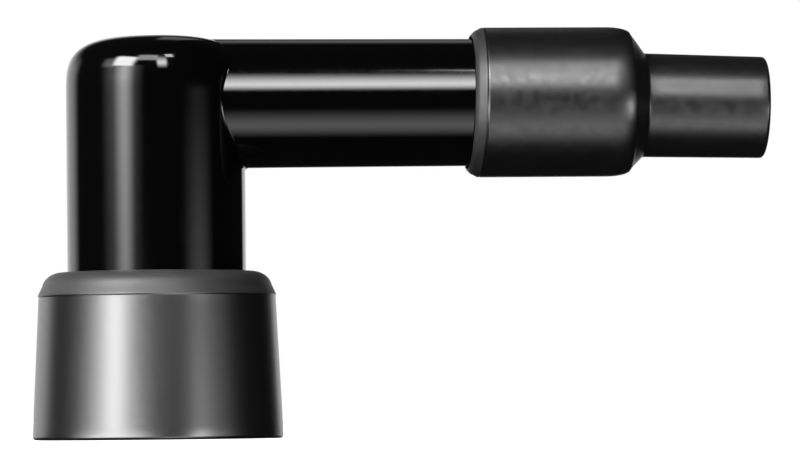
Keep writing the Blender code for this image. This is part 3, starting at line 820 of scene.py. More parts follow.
    def barrel_mesh(self) -> bpy.types.Mesh:
        """The domed barrel as a closed solid."""
        corners = [
            Corner(self.barrel_radius, self.skin.base),
            Corner(self.barrel_radius, self.foot, self.foot_round),
            Corner(0.0, self.foot),
        ]
        outline = self.skin.dome(self.dome_rings)[:-1]
        outline += stepped(rounded(corners, closed=False), self.longest_side, closed=False)
        return turned_mesh("barrel", outline, self.barrel_steps)

    def bore_meshes(self) -> list[bpy.types.Mesh]:
        """The two tools that cut the barrel's bore and the arm's channel."""
        below = self.foot - self.overcut
        beyond = self.arm_reach + self.overcut
        bore = [
            (0.0, self.well_top),
            (self.well_radius, self.well_top),
            (self.well_radius, self.bore_top),
            (self.bore_radius, self.bore_top),
            (self.bore_radius, below),
            (0.0, below),
        ]
        channel = [
            (0.0, beyond),
            (self.cable_bore_radius, beyond),
            (self.cable_bore_radius, self.cable_bore_start),
            (self.channel_radius, self.cable_bore_start),
            (self.channel_radius, 0.0),
            (0.0, 0.0),
        ]
        return [
            turned_mesh("barrel_bore", bore, self.bore_steps),
            turned_mesh("arm_channel", channel, self.bore_steps, Axis.ARM, self.arm_height),
        ]

    def smooth_skin(self, mesh: bpy.types.Mesh, points: list[Vector], normals: list[Vector]) -> None:
        """Set the exact normals of the barrel, the fillet and the arm on the joined mesh.

        Args:
            mesh: the joined mesh.
            points: the points of the arm's outer surface.
            normals: the normals at those points.
        """
        tree = KDTree(len(points))
        for index, point in enumerate(points):
            tree.insert(point, index)
        tree.balance()
        straight = self.foot + self.foot_round
        exact: list[Vector | None] = []
        for corner in mesh.vertices:
            place = corner.co
            found = None
            _, index, gap = tree.find(place)
            if gap < SKIN_MATCH:
                found = normals[index]
            elif place.z > straight and abs(self.skin.nearest(place)[1]) < SKIN_MATCH:
                found = self.skin.normal(place)
            exact.append(found)
        custom = [(0.0, 0.0, 0.0)] * len(mesh.loops)
        for face in mesh.polygons:
            for loop in face.loop_indices:
                found = exact[mesh.loops[loop].vertex_index]
                if found is not None and found.dot(face.normal) > SAME_SIDE:
                    custom[loop] = tuple(found)
        mesh.normals_split_custom_set(custom)

    def build(self, finish: bpy.types.Material) -> bpy.types.Object:
        """Make the elbow, with its bores, in place of the CAD elbow."""
        piece = new_piece("elbow_moulding", self.barrel_mesh())
        arm, points, normals = self.arm_mesh()
        cut_or_join(piece, arm, "UNION")
        for tool in self.bore_meshes():
            cut_or_join(piece, tool, "DIFFERENCE")
        smooth(piece.data)
        self.smooth_skin(piece.data, points, normals)
        return install(piece, finish, "elbow_body")


@dataclass
class PlugBoot:
    """The rubber boot: thin lip, matte shoulder, crisp ridge, flared skirt and sealing web."""

    mouth: float
    top: float
    mouth_radius: float
    barrel_radius: float
    gap: float = 0.3 * MM
    lip_wall: float = 0.3 * MM
    shoulder_height: float = 2.5 * MM
    ridge_step: float = 0.45 * MM
    ridge_rise: float = 0.7 * MM
    parting_step: float = 0.08 * MM
    parting_drop: float = 0.2 * MM
    skirt_flare: float = 0.76 * MM
    skirt_wall: float = 2.56 * MM
    skirt_depth: float = 7.0 * MM
    web_thickness: float = 2.0 * MM
    grip_radius: float = 5.0 * MM
    grip_valley: float = 0.5 * MM
    brow_rings: int = 24
    steps: int = 256
    longest_side: float = 1.0 * MM

    @classmethod
    def from_frame(cls) -> "PlugBoot":
        """Read the sizes that the CAD boot and elbow give."""
        low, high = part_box("plug_boot")
        barrel_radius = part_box("elbow_body")[1].y
        return cls(mouth=low.z, top=high.z, mouth_radius=high.y, barrel_radius=barrel_radius)

    def outline(self) -> Profile:
        """The boot's closed outline, from the lip down the outside and up the inside."""
        inner = self.barrel_radius + self.gap
        skirt_top = self.mouth_radius - self.skirt_flare
        ridge = skirt_top + self.parting_step
        ridge_height = self.top - self.shoulder_height
        brow = (ridge - self.ridge_step, ridge_height + self.ridge_rise)
        lip = inner + self.lip_wall
        bore = self.mouth_radius - self.skirt_wall
        ceiling = self.mouth + self.skirt_depth
        web_top = ceiling + self.web_thickness
        brow_radii = (brow[0] - lip, self.top - brow[1])
        corners = [
            Corner(inner, self.top),
            *ellipse_arc((lip, brow[1]), brow_radii, 90.0, 10.0, self.brow_rings),
            Corner(ridge, ridge_height, 0.10 * MM),
            Corner(skirt_top, ridge_height - self.parting_drop, 0.03 * MM),
            Corner(self.mouth_radius, self.mouth, 0.35 * MM),
            Corner(bore, self.mouth, 0.4 * MM),
            Corner(bore, ceiling, 0.6 * MM),
            Corner(self.grip_radius, ceiling, 0.3 * MM),
            Corner(self.grip_radius + self.grip_valley, (ceiling + web_top) / 2.0, 0.25 * MM),
            Corner(self.grip_radius, web_top, 0.3 * MM),
            Corner(inner, web_top),
        ]
        return stepped(rounded(corners), self.longest_side)

    def rubber(self) -> bpy.types.Material:
        """The boot's rubber: matte on the shoulder, more polished from the ridge down."""
        skirt = SkinZone(
            across=(0.0, 0.0, 1.0),
            border=self.top - self.shoulder_height,
            index=2.6,
            roughness_change=-0.193,
            dark=(0.0004, 0.0004, 0.00042),
            light=(0.0008, 0.0008, 0.00084),
        )
        return RubberFinish(
            name="boot_rubber",
            satin=(0.48, 0.53),
            satin_size=0.5 * MM,
            index=1.7,
            dark=(0.010, 0.010, 0.0103),
            light=(0.018, 0.018, 0.0185),
            zone=skirt,
        ).make()

    def build(self) -> bpy.types.Object:
        """Make the boot in place of the CAD boot."""
        mesh = turned_mesh("boot_moulding", self.outline(), self.steps)
        return install(new_piece("boot_moulding", mesh), self.rubber(), "plug_boot")


@dataclass
class CableSeal:
    """The rubber cable seal: bevelled rim, socket, eased shoulder and a neck that sags a little."""

    rim: float
    arm_tip: float
    arm_height: float
    socket_radius: float
    arm_tip_radius: float = 6.85 * MM
    arm_rim_radius: float = 6.9 * MM
    gap: float = 0.3 * MM
    end_wall: float = 0.6 * MM
    rim_length: float = 1.25 * MM
    bow_out: float = 0.55
    bow_back: float = 0.36
    bow_round: float = 0.8 * MM
    rim_tilt: float = 0.033
    rim_tilt_reach: float = 6.0 * MM
    crease_width: float = 0.3 * MM
    crease_depth: float = 0.05 * MM
    ease_length: float = 2.6 * MM
    ease_drop: float = 0.6 * MM
    shoulder_length: float = 1.5 * MM
    root_fillet: float = 0.4 * MM
    neck_radius: float = 5.64 * MM
    neck_taper: float = 0.13 * MM
    neck_length: float = 13.3 * MM
    neck_edge: float = 0.4 * MM
    neck_bore: float = 3.4 * MM
    neck_offset: float = 0.35 * MM
    neck_droop: float = math.radians(1.35)
    ease_rings: int = 12
    steps: int = 224
    longest_side: float = 0.8 * MM

    @classmethod
    def from_frame(cls) -> "CableSeal":
        """Read the sizes that the CAD seal and elbow give."""
        low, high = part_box("cable_seal")
        arm_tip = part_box("elbow_body")[1].x
        return cls(rim=low.x, arm_tip=arm_tip, arm_height=middle_height(RESISTOR), socket_radius=high.y)

    def outline(self) -> Profile:
        """The seal's closed outline as (radius, distance from the plug axis), before its neck sags."""
        rim_inner = self.arm_rim_radius + self.gap
        outer = self.socket_radius
        floor = self.arm_tip + self.gap
        shoulder = floor + self.end_wall
        floor_inner = self.arm_tip_radius + self.gap
        ease_radius = floor_inner + (outer - rim_inner) - self.ease_drop
        neck_start = shoulder + self.shoulder_length
        neck_end = neck_start + self.neck_length
        ease_start = shoulder - self.ease_length
        crease = self.rim + self.rim_length
        crease_end = crease + self.crease_width
        bow_radius = rim_inner + self.bow_out * (outer - rim_inner)
        ease_radii = (outer - ease_radius, self.ease_length)
        corners = [
            Corner(rim_inner, self.rim, 0.08 * MM),
            Corner(bow_radius, self.rim + self.bow_back * self.rim_length, self.bow_round),
            Corner(outer, crease, 0.2 * MM),
            Corner(outer - self.crease_depth, crease + self.crease_width / 2.0, 0.03 * MM),
            Corner(outer, crease_end, 0.04 * MM),
            *ellipse_arc((ease_radius, ease_start), ease_radii, 0.0, 75.0, self.ease_rings),
            Corner(ease_radius, shoulder, 0.3 * MM),
            Corner(self.neck_radius, neck_start, self.root_fillet),
            Corner(self.neck_radius - self.neck_taper, neck_end, self.neck_edge),
            Corner(self.neck_bore, neck_end, self.neck_edge),
            Corner(self.neck_bore, floor, 0.3 * MM),
            Corner(floor_inner, floor, 0.1 * MM),
        ]
        return stepped(rounded(corners), self.longest_side)

    def sag(self, mesh: bpy.types.Mesh) -> None:
        """Tilt the rim a little, and let the neck drop and tilt, easing in along the shoulder."""
        shoulder = self.arm_tip + self.gap + self.end_wall
        for corner in mesh.vertices:
            fade = max(1.0 - (corner.co.x - self.rim) / self.rim_tilt_reach, 0.0)
            lean = self.rim_tilt * fade * fade * (3.0 - 2.0 * fade)
            corner.co.x += lean * (corner.co.z - self.arm_height)
            share = min(max((corner.co.x - shoulder) / self.shoulder_length, 0.0), 1.0)
            ease = share * share * (3.0 - 2.0 * share)
            tilt = self.neck_droop * ease
            ahead = max(corner.co.x - shoulder, 0.0)
            back = min(corner.co.x, shoulder)
            down = self.arm_height - corner.co.z
            drop = self.neck_offset * ease
            corner.co.x = back + ahead * math.cos(tilt) - down * math.sin(tilt)
            corner.co.z = self.arm_height - down * math.cos(tilt) - ahead * math.sin(tilt) - drop

    def rubber(self) -> bpy.types.Material:
        """The seal's rubber: satin on the socket and the neck, worn matte on the rim."""
        worn = SkinZone(
            across=(1.0, 0.0, -self.rim_tilt),
            border=self.rim + self.rim_length - self.rim_tilt * self.arm_height,
            index=1.65,
            roughness_change=0.15,
            dark=(0.005, 0.005, 0.0052),
            light=(0.011, 0.011, 0.0113),
        )
        return RubberFinish(
            name="seal_rubber",
            satin=(0.285, 0.385),
            satin_size=1.0 * MM,
            index=1.95,
            dark=(0.0008, 0.0008, 0.00083),
            light=(0.002, 0.002, 0.0021),
            zone=worn,
        ).make()

    def build(self) -> bpy.types.Object:
        """Make the seal in place of the CAD seal."""
        mesh = turned_mesh("seal_moulding", self.outline(), self.steps, Axis.ARM, self.arm_height)
        self.sag(mesh)
        return install(new_piece("seal_moulding", mesh), self.rubber(), "cable_seal")


@dataclass
class PlugTerminal:
    """The brass cup that snaps over the plug's nut, with a stud above and a slot on each side."""

    radius: float
    mouth: float
    stud_top: float
    clip_height: float
    bore_radius: float = 3.3 * MM
    crown: float = 1.2 * MM
    stud_radius: float = 2.0 * MM
    slot_start: float = 2.15 * MM
    slot_half: float = 0.6 * MM
    steps: int = 128

    @classmethod
    def from_frame(cls) -> "PlugTerminal":
        """Read the sizes that the CAD terminal and clip give."""
        low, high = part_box("plug_terminal")
        clip_height = middle_height("terminal_clip")
        return cls(radius=high.y, mouth=low.z, stud_top=high.z, clip_height=clip_height)

    def outline(self) -> Profile:
        """The cup's outline from the top of the stud to the seat inside it."""
        corners = [
            Corner(0.0, self.stud_top),
            Corner(self.stud_radius, self.stud_top, 0.35 * MM),
            Corner(self.stud_radius, self.crown, 0.15 * MM),
            Corner(self.radius, self.crown, 0.25 * MM),
            Corner(self.radius, self.mouth, 0.15 * MM),
            Corner(self.bore_radius, self.mouth, 0.35 * MM),
            Corner(self.bore_radius, 0.0, 0.2 * MM),
            Corner(0.0, 0.0),
        ]
        return rounded(corners, closed=False)

    def build(self, finish: bpy.types.Material) -> bpy.types.Object:
        """Make the cup with its slots in place of the CAD terminal."""
        piece = new_piece("terminal_cup", turned_mesh("terminal_cup", self.outline(), self.steps))
        beyond = 2.0 * self.radius
        slots = (("slot_right", self.slot_start, beyond), ("slot_left", -beyond, -self.slot_start))
        for name, near, far in slots:
            low = Vector((near, -beyond, self.clip_height - self.slot_half))
            high = Vector((far, beyond, self.clip_height + self.slot_half))
            cut_or_join(piece, box_mesh(name, low, high), "DIFFERENCE")
        smooth(piece.data)
        return install(piece, finish, "plug_terminal")


@dataclass
class TerminalClip:
    """The wire clip: two straight legs through the cup's slots, joined round the back of the cup."""

    wire_radius: float
    height: float
    bend_radius: float
    leg_offset: float = 2.75 * MM
    leg_steps: int = 8
    wire_sides: int = 20
    steps: int = 56

    @classmethod
    def from_frame(cls) -> "TerminalClip":
        """Read the sizes that the CAD clip gives."""
        low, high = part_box("terminal_clip")
        wire_radius = (high.z - low.z) / 2.0
        height = middle_height("terminal_clip")
        return cls(wire_radius=wire_radius, height=height, bend_radius=high.y - wire_radius)

    def build(self, finish: bpy.types.Material) -> bpy.types.Object:
        """Make the clip in place of the CAD clip."""
        reach = math.sqrt(self.bend_radius ** 2 - self.leg_offset ** 2)
        start = math.atan2(reach, self.leg_offset)
        path = []
        for step in range(self.leg_steps):
            along = -reach + 2.0 * reach * step / self.leg_steps
            path.append(Vector((self.leg_offset, along, self.height)))
        for step in range(self.steps + 1):
            turn = start + (math.pi - 2.0 * start) * step / self.steps
            bend = (self.bend_radius * math.cos(turn), self.bend_radius * math.sin(turn))
            path.append(Vector((*bend, self.height)))
        path += [Vector((-point.x, point.y, point.z)) for point in reversed(path[:self.leg_steps])]
        mesh = swept_mesh("clip_wire", path, self.wire_radius, self.wire_sides)
        return install(new_piece("clip_wire", mesh), finish, "terminal_clip")


@dataclass
class ElbowInsert:
    """The moulded-in brass nut: two knurled flanges, a waist, a tapped hole and a flat for the spring."""

    radius: float
    bottom: float
    top: float
    flat: float
    hole_radius: float
    hole_top: float
    waist_depth: float = 0.5 * MM
    waist_width: float = 1.6 * MM
    knurls: int = 60
    knurl_depth: float = 0.12 * MM
    knurl_skin: float = 0.05 * MM
    knurl_angle: float = math.radians(20.0)

    @classmethod
    def from_frame(cls) -> "ElbowInsert":
        """Read the sizes that the CAD insert and terminal give."""
        low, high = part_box("elbow_insert")
        gap = low.z - PlugTerminal.crown
        hole_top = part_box("plug_terminal")[1].z + gap
        return cls(radius=-low.x, bottom=low.z, top=high.z, flat=high.x,
                   hole_radius=PlugTerminal.stud_radius + gap, hole_top=hole_top)

    def build(self, finish: bpy.types.Material) -> bpy.types.Object:
        """Make the insert in place of the CAD insert."""
        waist = self.radius - self.waist_depth
        waist_bottom = self.bottom + self.waist_width
        waist_top = self.bottom + 2.0 * self.waist_width
        corners = [
            Corner(0.0, self.top),
            Corner(self.radius, self.top, 0.2 * MM),
            Corner(self.radius, waist_top, 0.1 * MM),
            Corner(waist, waist_top, 0.1 * MM),
            Corner(waist, waist_bottom, 0.1 * MM),
            Corner(self.radius, waist_bottom, 0.1 * MM),
            Corner(self.radius, self.bottom, 0.2 * MM),
            Corner(self.hole_radius, self.bottom, 0.2 * MM),
            Corner(self.hole_radius, self.hole_top),
            Corner(0.0, self.hole_top),
        ]
        outline = rounded(corners, rings=3, closed=False)
        piece = new_piece("knurled_insert", turned_mesh("knurled_insert", outline, 2 * self.knurls))
        for corner in piece.data.vertices:
            radial = math.hypot(corner.co.x, corner.co.y)
            step = round(math.atan2(corner.co.y, corner.co.x) / (math.pi / self.knurls))
            if radial > self.radius - self.knurl_skin and step % 2:
                corner.co.x *= 1.0 - self.knurl_depth / radial
                corner.co.y *= 1.0 - self.knurl_depth / radial
        beyond = 2.0 * self.radius
        low = Vector((self.flat, -beyond, self.bottom - beyond))
        high = Vector((beyond, beyond, self.top + beyond))
        cut_or_join(piece, box_mesh("insert_flat", low, high), "DIFFERENCE")
        smooth(piece.data, self.knurl_angle)
        return install(piece, finish, "elbow_insert")


@dataclass
class ContactSpring:
    """The coil spring between the insert and the resistor."""

    start: float
    end: float
    coil_radius: float
    arm_height: float
    wire_radius: float = 0.25 * MM
    turns: int = 4
    wire_sides: int = 14
    steps_per_turn: int = 40

    @classmethod
    def from_frame(cls) -> "ContactSpring":
        """Read the sizes that the CAD spring gives."""
        low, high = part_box("contact_spring")
        coil_radius = high.y - cls.wire_radius
        arm_height = middle_height("contact_spring")
        return cls(start=low.x, end=high.x, coil_radius=coil_radius, arm_height=arm_height)

    def build(self, finish: bpy.types.Material) -> bpy.types.Object:
        """Make the spring in place of the CAD spring."""
        count = self.turns * self.steps_per_turn
        climb = self.end - self.start - 2.0 * self.wire_radius
        path = []
        for step in range(count + 1):
            place = self.start + self.wire_radius + climb * step / count
            turn = 2.0 * math.pi * step / self.steps_per_turn
            path.append(Vector(on_axis(Axis.ARM, self.coil_radius, turn, place, self.arm_height)))
        mesh = swept_mesh("spring_coil", path, self.wire_radius, self.wire_sides)
        return install(new_piece("spring_coil", mesh), finish, "contact_spring")


@dataclass
class Suppressor:
    """The ceramic resistor rod and the drawn brass cap on each of its ends."""

    start: float
    end: float
    radius: float
    arm_height: float
    cap_wall: float = 0.35 * MM
    cap_end: float = 0.5 * MM
    dimple: float = 0.12 * MM
    dimple_floor: float = 0.35
    dimple_edge: float = 0.5
    steps: int = 96

    @classmethod
    def from_frame(cls) -> "Suppressor":
        """Read the sizes that the CAD rod gives."""
        low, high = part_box(RESISTOR)
        return cls(start=low.x, end=high.x, radius=high.y, arm_height=middle_height(RESISTOR))

    def rod(self, finish: bpy.types.Material) -> bpy.types.Object:
        """Make the rod in place of the CAD rod."""
        corners = [
            Corner(0.0, self.end),
            Corner(self.radius, self.end, 0.25 * MM),
            Corner(self.radius, self.start, 0.25 * MM),
            Corner(0.0, self.start),
        ]
        outline = stepped(rounded(corners, closed=False), 1.0 * MM, closed=False)
        mesh = turned_mesh("ceramic_rod", outline, self.steps, Axis.ARM, self.arm_height)
        return install(new_piece("ceramic_rod", mesh), finish, RESISTOR)

    def cap(self, name: str, node: str, into: float, finish: bpy.types.Material) -> bpy.types.Object:
        """Make one end cap in place of a CAD cap.

        Args:
            name: the new piece's name.
            node: the CAD cap.
            into: 1 where the cap opens towards the cable, -1 where it opens towards the plug.
            finish: the cap's material.

        Returns:
            The cap.
        """
        low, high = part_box(node)
        closed_end, lip = (low.x, high.x) if into > 0.0 else (high.x, low.x)
        bore = high.y - self.cap_wall
        corners = [
            Corner(0.0, closed_end + into * self.dimple),
            Corner(self.dimple_floor * bore, closed_end + into * self.dimple, 0.2 * MM),
            Corner(self.dimple_edge * bore, closed_end, 0.2 * MM),
            Corner(high.y, closed_end, 0.4 * MM),
            Corner(high.y, lip, 0.1 * MM),
            Corner(bore, lip, 0.1 * MM),
            Corner(bore, closed_end + into * self.cap_end, 0.2 * MM),
            Corner(0.0, closed_end + into * self.cap_end),
        ]
        outline = rounded(corners, closed=False)
        mesh = turned_mesh(name, outline, self.steps, Axis.ARM, self.arm_height)
        return install(new_piece(name, mesh), finish, node)


@dataclass
class CableScrew:
    """The brass screw that the lead is turned onto: nose, flange and a coarsely threaded spike."""

    start: float
    end: float
    flange_radius: float
    arm_height: float
    nose_radius: float = 1.8 * MM
    nose_length: float = 0.8 * MM
    flange_thickness: float = 1.8 * MM
    core_radius: float = 1.1 * MM
    point_length: float = 3.0 * MM
    point_radius: float = 0.2 * MM
    thread_radius: float = 1.9 * MM
    thread_pitch: float = 2.2 * MM
    thread_width: float = 1.1 * MM
    thread_crest: float = 0.12 * MM
    thread_turns: int = 3
    thread_sink: float = 0.2 * MM
    thread_end: float = 0.3 * MM
    thread_fade: float = 0.25
    thread_run_in: float = 0.3
    steps: int = 96

    @classmethod
    def from_frame(cls) -> "CableScrew":
        """Read the sizes that the CAD screw and resistor give."""
        low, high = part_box("cable_screw")
        arm_height = middle_height(RESISTOR)
        return cls(start=low.x, end=high.x, flange_radius=high.y, arm_height=arm_height)

    def thread_mesh(self, start: float) -> bpy.types.Mesh:
        """The thread's ridge, wound round the core and fading out at both ends."""
        shape = bmesh.new()
        root = self.core_radius - self.thread_sink
        count = self.thread_turns * self.steps
        fade_steps = self.thread_fade * self.steps
        sections = []
        for step in range(count + 1):
            fade = min(1.0, step / fade_steps, (count - step) / fade_steps)
            rise = self.thread_run_in + (1.0 - self.thread_run_in) * fade
            crest = root + (self.thread_radius - root) * rise
            middle = start + self.thread_width / 2.0 + self.thread_pitch * step / self.steps
            half = self.thread_width / 2.0
            places = (
                (root, middle - half),
                (crest, middle - self.thread_crest),
                (crest, middle + self.thread_crest),
                (root, middle + half),
            )
            turn = 2.0 * math.pi * step / self.steps
            ring = [shape.verts.new(on_axis(Axis.ARM, radius, turn, place, self.arm_height))
                    for radius, place in places]
            sections.append(ring)
        for this, following in zip(sections, sections[1:]):
            for side in range(len(this)):
                ahead = (side + 1) % len(this)
                shape.faces.new((this[side], this[ahead], following[ahead], following[side]))
        shape.faces.new(sections[0])
        shape.faces.new(sections[-1])
        bmesh.ops.recalc_face_normals(shape, faces=shape.faces)
        return finished("screw_thread", shape)

    def build(self, finish: bpy.types.Material) -> bpy.types.Object:
        """Make the screw in place of the CAD screw."""
        flange_start = self.start + self.nose_length
        flange_end = flange_start + self.flange_thickness
        shank_end = self.end - self.point_length
        corners = [
            Corner(0.0, self.end),
            Corner(self.point_radius, self.end, 0.1 * MM),
            Corner(self.core_radius, shank_end, 0.3 * MM),
            Corner(self.core_radius, flange_end, 0.3 * MM),
            Corner(self.flange_radius, flange_end, 0.2 * MM),
            Corner(self.flange_radius, flange_start, 0.2 * MM),
            Corner(self.nose_radius, flange_start, 0.1 * MM),
            Corner(self.nose_radius, self.start, 0.25 * MM),
            Corner(0.0, self.start),
        ]
        outline = rounded(corners, closed=False)
        mesh = turned_mesh("lead_screw", outline, self.steps, Axis.ARM, self.arm_height)
        piece = new_piece("lead_screw", mesh)
        length = self.thread_turns * self.thread_pitch + self.thread_width
        cut_or_join(piece, self.thread_mesh(shank_end - length - self.thread_end), "UNION")
        smooth(piece.data)
        return install(piece, finish, "cable_screw")


@dataclass(frozen=True)
class LightPanel:
    """A studio panel that shines with soft edges, seen in reflections but not by the camera.

    Directions are seen from the cap: azimuth 0 is straight in front of it, along -Y, and positive
    azimuths lie towards the cable. An edge is the share of the panel over which its light fades out.
    The panel is clear, so panels that overlap add up.
    """

    name: str
    azimuth: float
    elevation: float
    width: float
    height: float
    strength: float
    left_edge: float
    right_edge: float
    bottom_edge: float
    top_edge: float
    distance: float = 1.0

    def material(self) -> bpy.types.Material:
        """The panel's light, faded towards its edges."""
        made = bpy.data.materials.new(self.name)
        made.use_nodes = True
        tree = made.node_tree
        tree.nodes.clear()
        place = tree.nodes.new("ShaderNodeTexCoord")
        split = tree.nodes.new("ShaderNodeSeparateXYZ")
        tree.links.new(place.outputs["UV"], split.inputs["Vector"])
        edges = (
            ("X", 0.0, self.left_edge),
            ("X", 1.0, 1.0 - self.right_edge),
            ("Y", 0.0, self.bottom_edge),
            ("Y", 1.0, 1.0 - self.top_edge),
        )
        strength = None
        for axis, outside, inside in edges:
            fade = tree.nodes.new("ShaderNodeMapRange")
            fade.interpolation_type = "SMOOTHSTEP"
            fade.inputs["From Min"].default_value = outside
            fade.inputs["From Max"].default_value = inside
            tree.links.new(split.outputs[axis], fade.inputs["Value"])
            product = tree.nodes.new("ShaderNodeMath")
            product.operation = "MULTIPLY"
            tree.links.new(fade.outputs["Result"], product.inputs[0])
            if strength is None:
                product.inputs[1].default_value = self.strength
            else:
                tree.links.new(strength, product.inputs[1])
            strength = product.outputs["Value"]
        light = tree.nodes.new("ShaderNodeEmission")
        tree.links.new(strength, light.inputs["Strength"])
        clear = tree.nodes.new("ShaderNodeBsdfTransparent")
        both = tree.nodes.new("ShaderNodeAddShader")
        tree.links.new(light.outputs["Emission"], both.inputs[0])
        tree.links.new(clear.outputs["BSDF"], both.inputs[1])
        output = tree.nodes.new("ShaderNodeOutputMaterial")
        tree.links.new(both.outputs["Shader"], output.inputs["Surface"])
        return made

    def build(self, focus: Vector) -> bpy.types.Object:
        """Place the panel so that it faces the cap."""
        azimuth = math.radians(self.azimuth)
        elevation = math.radians(self.elevation)
        flat = math.cos(elevation)
        out = Vector((math.sin(azimuth) * flat, -math.cos(azimuth) * flat, math.sin(elevation)))
        right = Vector((math.cos(azimuth), math.sin(azimuth), 0.0))
        up = out.cross(right)
        if up.z < 0.0:
            up = -up
        centre = focus + out * self.distance
        across = right * self.width / 2.0
        along = up * self.height / 2.0
        mesh = bpy.data.meshes.new(self.name)
        corners = [centre - across - along, centre + across - along, centre + across + along,
                   centre - across + along]
        mesh.from_pydata([tuple(corner) for corner in corners], [], [(0, 1, 2, 3)])
        layer = mesh.uv_layers.new(name="panel")
        for loop, place in zip(layer.data, ((0.0, 0.0), (1.0, 0.0), (1.0, 1.0), (0.0, 1.0))):
            loop.uv = place
        mesh.materials.append(self.material())
        panel = new_piece(self.name, mesh)
        panel.visible_camera = False
        panel.visible_shadow = False
        return panel


@dataclass
class Studio:
    """A white floor and surround, a soft light and the panels that the reflections call for."""

    floor_height: float
    focus: Vector
    floor_radius: float = 4.0
    floor_gap: float = 0.05 * MM
    soft_light_power: float = 130.0
    soft_light_size: float = 1.4
    soft_light_place: tuple = (-1.25, -0.45, 0.95)
    surround: float = 0.012
    floor_tone: float = 0.3
    floor_glow: float = 1.0
    floor_steps: int = 96
    panels: tuple = (
        LightPanel("key_panel", -48.5, 36.5, 0.58, 0.50, 17.0, 0.25, 0.25, 0.12, 0.25),
        LightPanel("key_low_panel", -45.0, 9.0, 0.58, 0.60, 5.8, 0.55, 0.50, 0.50, 0.12),
        LightPanel("key_wide_panel", -48.0, 12.0, 1.20, 0.62, 1.7, 0.50, 0.50, 0.40, 0.12),
        LightPanel("key_left_panel", -72.0, 30.0, 0.40, 0.45, 1.8, 0.50, 0.15, 0.30, 0.40),
        LightPanel("skirt_key_panel", -45.5, -18.0, 1.74, 0.60, 6.8, 0.38, 0.34, 0.90, 0.12),
        LightPanel("bridge_panel", -16.0, 47.5, 0.42, 0.40, 5.0, 0.15, 0.15, 0.25, 0.30),
        LightPanel("overhead_panel", 5.5, 36.8, 0.25, 0.66, 13.0, 0.20, 0.25, 0.38, 0.72),
        LightPanel("overhead_right_panel", 20.5, 53.0, 0.17, 0.22, 10.0, 0.12, 0.25, 0.20, 0.20),
        LightPanel("low_panel", 18.0, -39.0, 0.80, 1.10, 1.7, 0.15, 0.45, 0.50, 0.65),
        LightPanel("side_panel", 52.5, -6.0, 0.90, 0.40, 0.92, 0.50, 0.50, 0.50, 0.25),
        LightPanel("skirt_side_panel", 34.5, -15.0, 0.36, 0.50, 8.8, 0.45, 0.30, 0.90, 0.12),
        LightPanel("back_panel", -151.5, 8.0, 1.32, 0.81, 1.1, 0.15, 0.30, 0.30, 0.45),
        LightPanel("back_right_panel", 160.0, 2.0, 0.63, 0.56, 1.15, 0.12, 0.05, 0.20, 0.30),
        LightPanel("back_slot_panel", 173.3, 38.0, 0.13, 0.50, 0.35, 0.20, 0.10, 0.30, 0.50),
    )

    def world(self) -> None:
        """Make the surround white to the camera and nearly dark to everything else."""
        world = bpy.data.worlds.new("surround")
        bpy.context.scene.world = world
        world.use_nodes = True
        tree = world.node_tree
        dark = tree.nodes["Background"]
        dark.inputs["Color"].default_value = (1.0, 1.0, 1.0, 1.0)
        dark.inputs["Strength"].default_value = self.surround
        white = tree.nodes.new("ShaderNodeBackground")
        white.inputs["Color"].default_value = (1.0, 1.0, 1.0, 1.0)
        white.inputs["Strength"].default_value = 1.0
        path = tree.nodes.new("ShaderNodeLightPath")
        mix = tree.nodes.new("ShaderNodeMixShader")
        tree.links.new(path.outputs["Is Camera Ray"], mix.inputs["Fac"])
        tree.links.new(dark.outputs["Background"], mix.inputs[1])
        tree.links.new(white.outputs["Background"], mix.inputs[2])
        tree.links.new(mix.outputs["Shader"], tree.nodes["World Output"].inputs["Surface"])

    def floor(self) -> None:
        """Lay the pale floor just under the boot's mouth."""
        shape = bmesh.new()
        bmesh.ops.create_circle(shape, cap_ends=True, radius=self.floor_radius,
                                segments=self.floor_steps)
        mesh = finished("floor", shape)
        floor = new_piece("floor", mesh)
        floor.location = (self.focus.x, 0.0, self.floor_height - self.floor_gap)
        floor.visible_glossy = False
        pale = bpy.data.materials.new("pale_floor")
        pale.use_nodes = True
        shader = pale.node_tree.nodes["Principled BSDF"]
        shader.inputs["Base Color"].default_value = (*[self.floor_tone] * 3, 1.0)
        shader.inputs["Roughness"].default_value = 0.9
        shader.inputs["Specular IOR Level"].default_value = 0.0
        shader.inputs["Emission Color"].default_value = (1.0, 1.0, 1.0, 1.0)
        shader.inputs["Emission Strength"].default_value = self.floor_glow
        mesh.materials.append(pale)

    def soft_light(self) -> None:
        """Hang the wide soft light on the left that shades the matte rubber, unseen in reflections."""
        lamp = bpy.data.lights.new("soft_light", "AREA")
        lamp.shape = "DISK"
        lamp.size = self.soft_light_size
        lamp.energy = self.soft_light_power
        light = bpy.data.objects.new("soft_light", lamp)
        place = Vector(self.soft_light_place)
        light.location = self.focus + place
        light.rotation_euler = (-place).to_track_quat("-Z", "Y").to_euler()
        light.visible_glossy = False
        light.visible_camera = False
        bpy.context.scene.collection.objects.link(light)

    def build(self) -> None:
        """Set up the whole studio."""
        self.world()
        self.floor()
        self.soft_light()
        for panel in self.panels:
            panel.build(self.focus)
        bpy.context.scene.view_settings.view_transform = "Standard"
        log.info("studio with %d panels", len(self.panels))


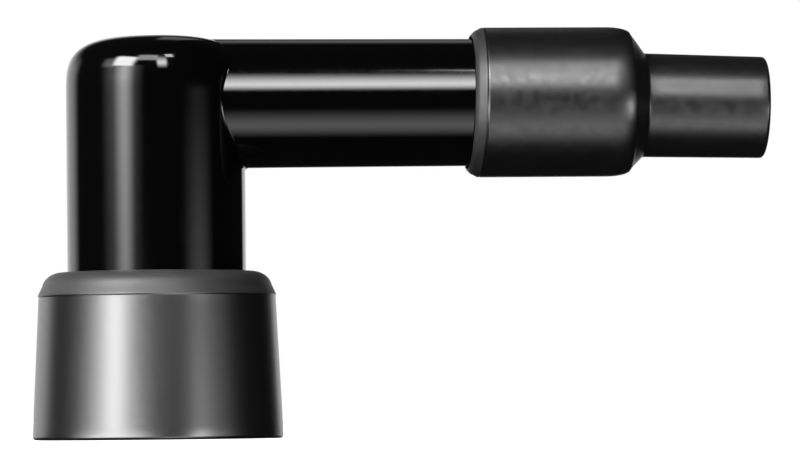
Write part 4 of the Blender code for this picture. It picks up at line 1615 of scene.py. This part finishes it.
@dataclass(frozen=True)
class PhotoCamera:
    """The camera that the photograph was taken with, found from its outline."""

    yaw: float = math.radians(5.5)
    pitch: float = math.radians(-1.8)
    roll: float = math.radians(-0.59)
    distance: float = 0.600
    focal_pixels: float = 5543.3
    target: tuple = (0.02636, 0.0, -0.00874)

    def build(self) -> None:
        """Make the camera and hand it to the scene."""
        flat = math.cos(self.pitch)
        forward = Vector((math.sin(self.yaw) * flat, math.cos(self.yaw) * flat, -math.sin(self.pitch)))
        level = Vector((math.cos(self.yaw), -math.sin(self.yaw), 0.0))
        upright = level.cross(forward)
        right = level * math.cos(self.roll) + upright * math.sin(self.roll)
        up = upright * math.cos(self.roll) - level * math.sin(self.roll)
        lens = bpy.data.cameras.new("photo_camera")
        lens.sensor_fit = "HORIZONTAL"
        lens.lens = self.focal_pixels / PHOTO_WIDTH * lens.sensor_width
        lens.clip_start = 0.01
        camera = bpy.data.objects.new("photo_camera", lens)
        turn = Matrix((right, up, -forward)).transposed().to_4x4()
        camera.matrix_world = Matrix.Translation(Vector(self.target) - forward * self.distance) @ turn
        bpy.context.scene.collection.objects.link(camera)
        bpy.context.scene.camera = camera


def build_inner_pieces() -> None:
    """Make the contact pieces inside the cap, with their finishes."""
    turned_brass = MetalFinish(
        name="turned_brass",
        dark=(0.60, 0.40, 0.14),
        light=(0.80, 0.58, 0.26),
        gloss=(0.15, 0.25),
        line_size=0.05 * MM,
        stretch=(0.05, 0.05, 1.0),
    ).make()
    lathe_brass = MetalFinish(
        name="lathe_brass",
        dark=(0.62, 0.43, 0.17),
        light=(0.78, 0.58, 0.28),
        gloss=(0.18, 0.26),
        line_size=0.05 * MM,
        stretch=(1.0, 0.05, 0.05),
    ).make()
    steel = MetalFinish(
        name="drawn_steel",
        dark=(0.42, 0.42, 0.43),
        light=(0.62, 0.62, 0.63),
        gloss=(0.16, 0.25),
        line_size=0.04 * MM,
        stretch=(0.3, 0.3, 0.3),
    ).make()
    PlugTerminal.from_frame().build(turned_brass)
    TerminalClip.from_frame().build(steel)
    ElbowInsert.from_frame().build(turned_brass)
    ContactSpring.from_frame().build(steel)
    suppressor = Suppressor.from_frame()
    suppressor.rod(CeramicFinish().make())
    suppressor.cap("inner_cap", "resistor_cap_inner", 1.0, lathe_brass)
    suppressor.cap("outer_cap", "resistor_cap_outer", -1.0, lathe_brass)
    CableScrew.from_frame().build(lathe_brass)


def main() -> None:
    """Build the cap's pieces and the studio around them."""
    logging.basicConfig(level=logging.INFO, format="%(name)s: %(message)s")
    PhotoCamera().build()
    Elbow.from_frame().build(PhenolicFinish().make())
    boot = PlugBoot.from_frame()
    boot.build()
    CableSeal.from_frame().build()
    build_inner_pieces()
    Studio(floor_height=boot.mouth, focus=Vector((0.02, 0.0, -0.005))).build()


if __name__ == "__main__":
    main()
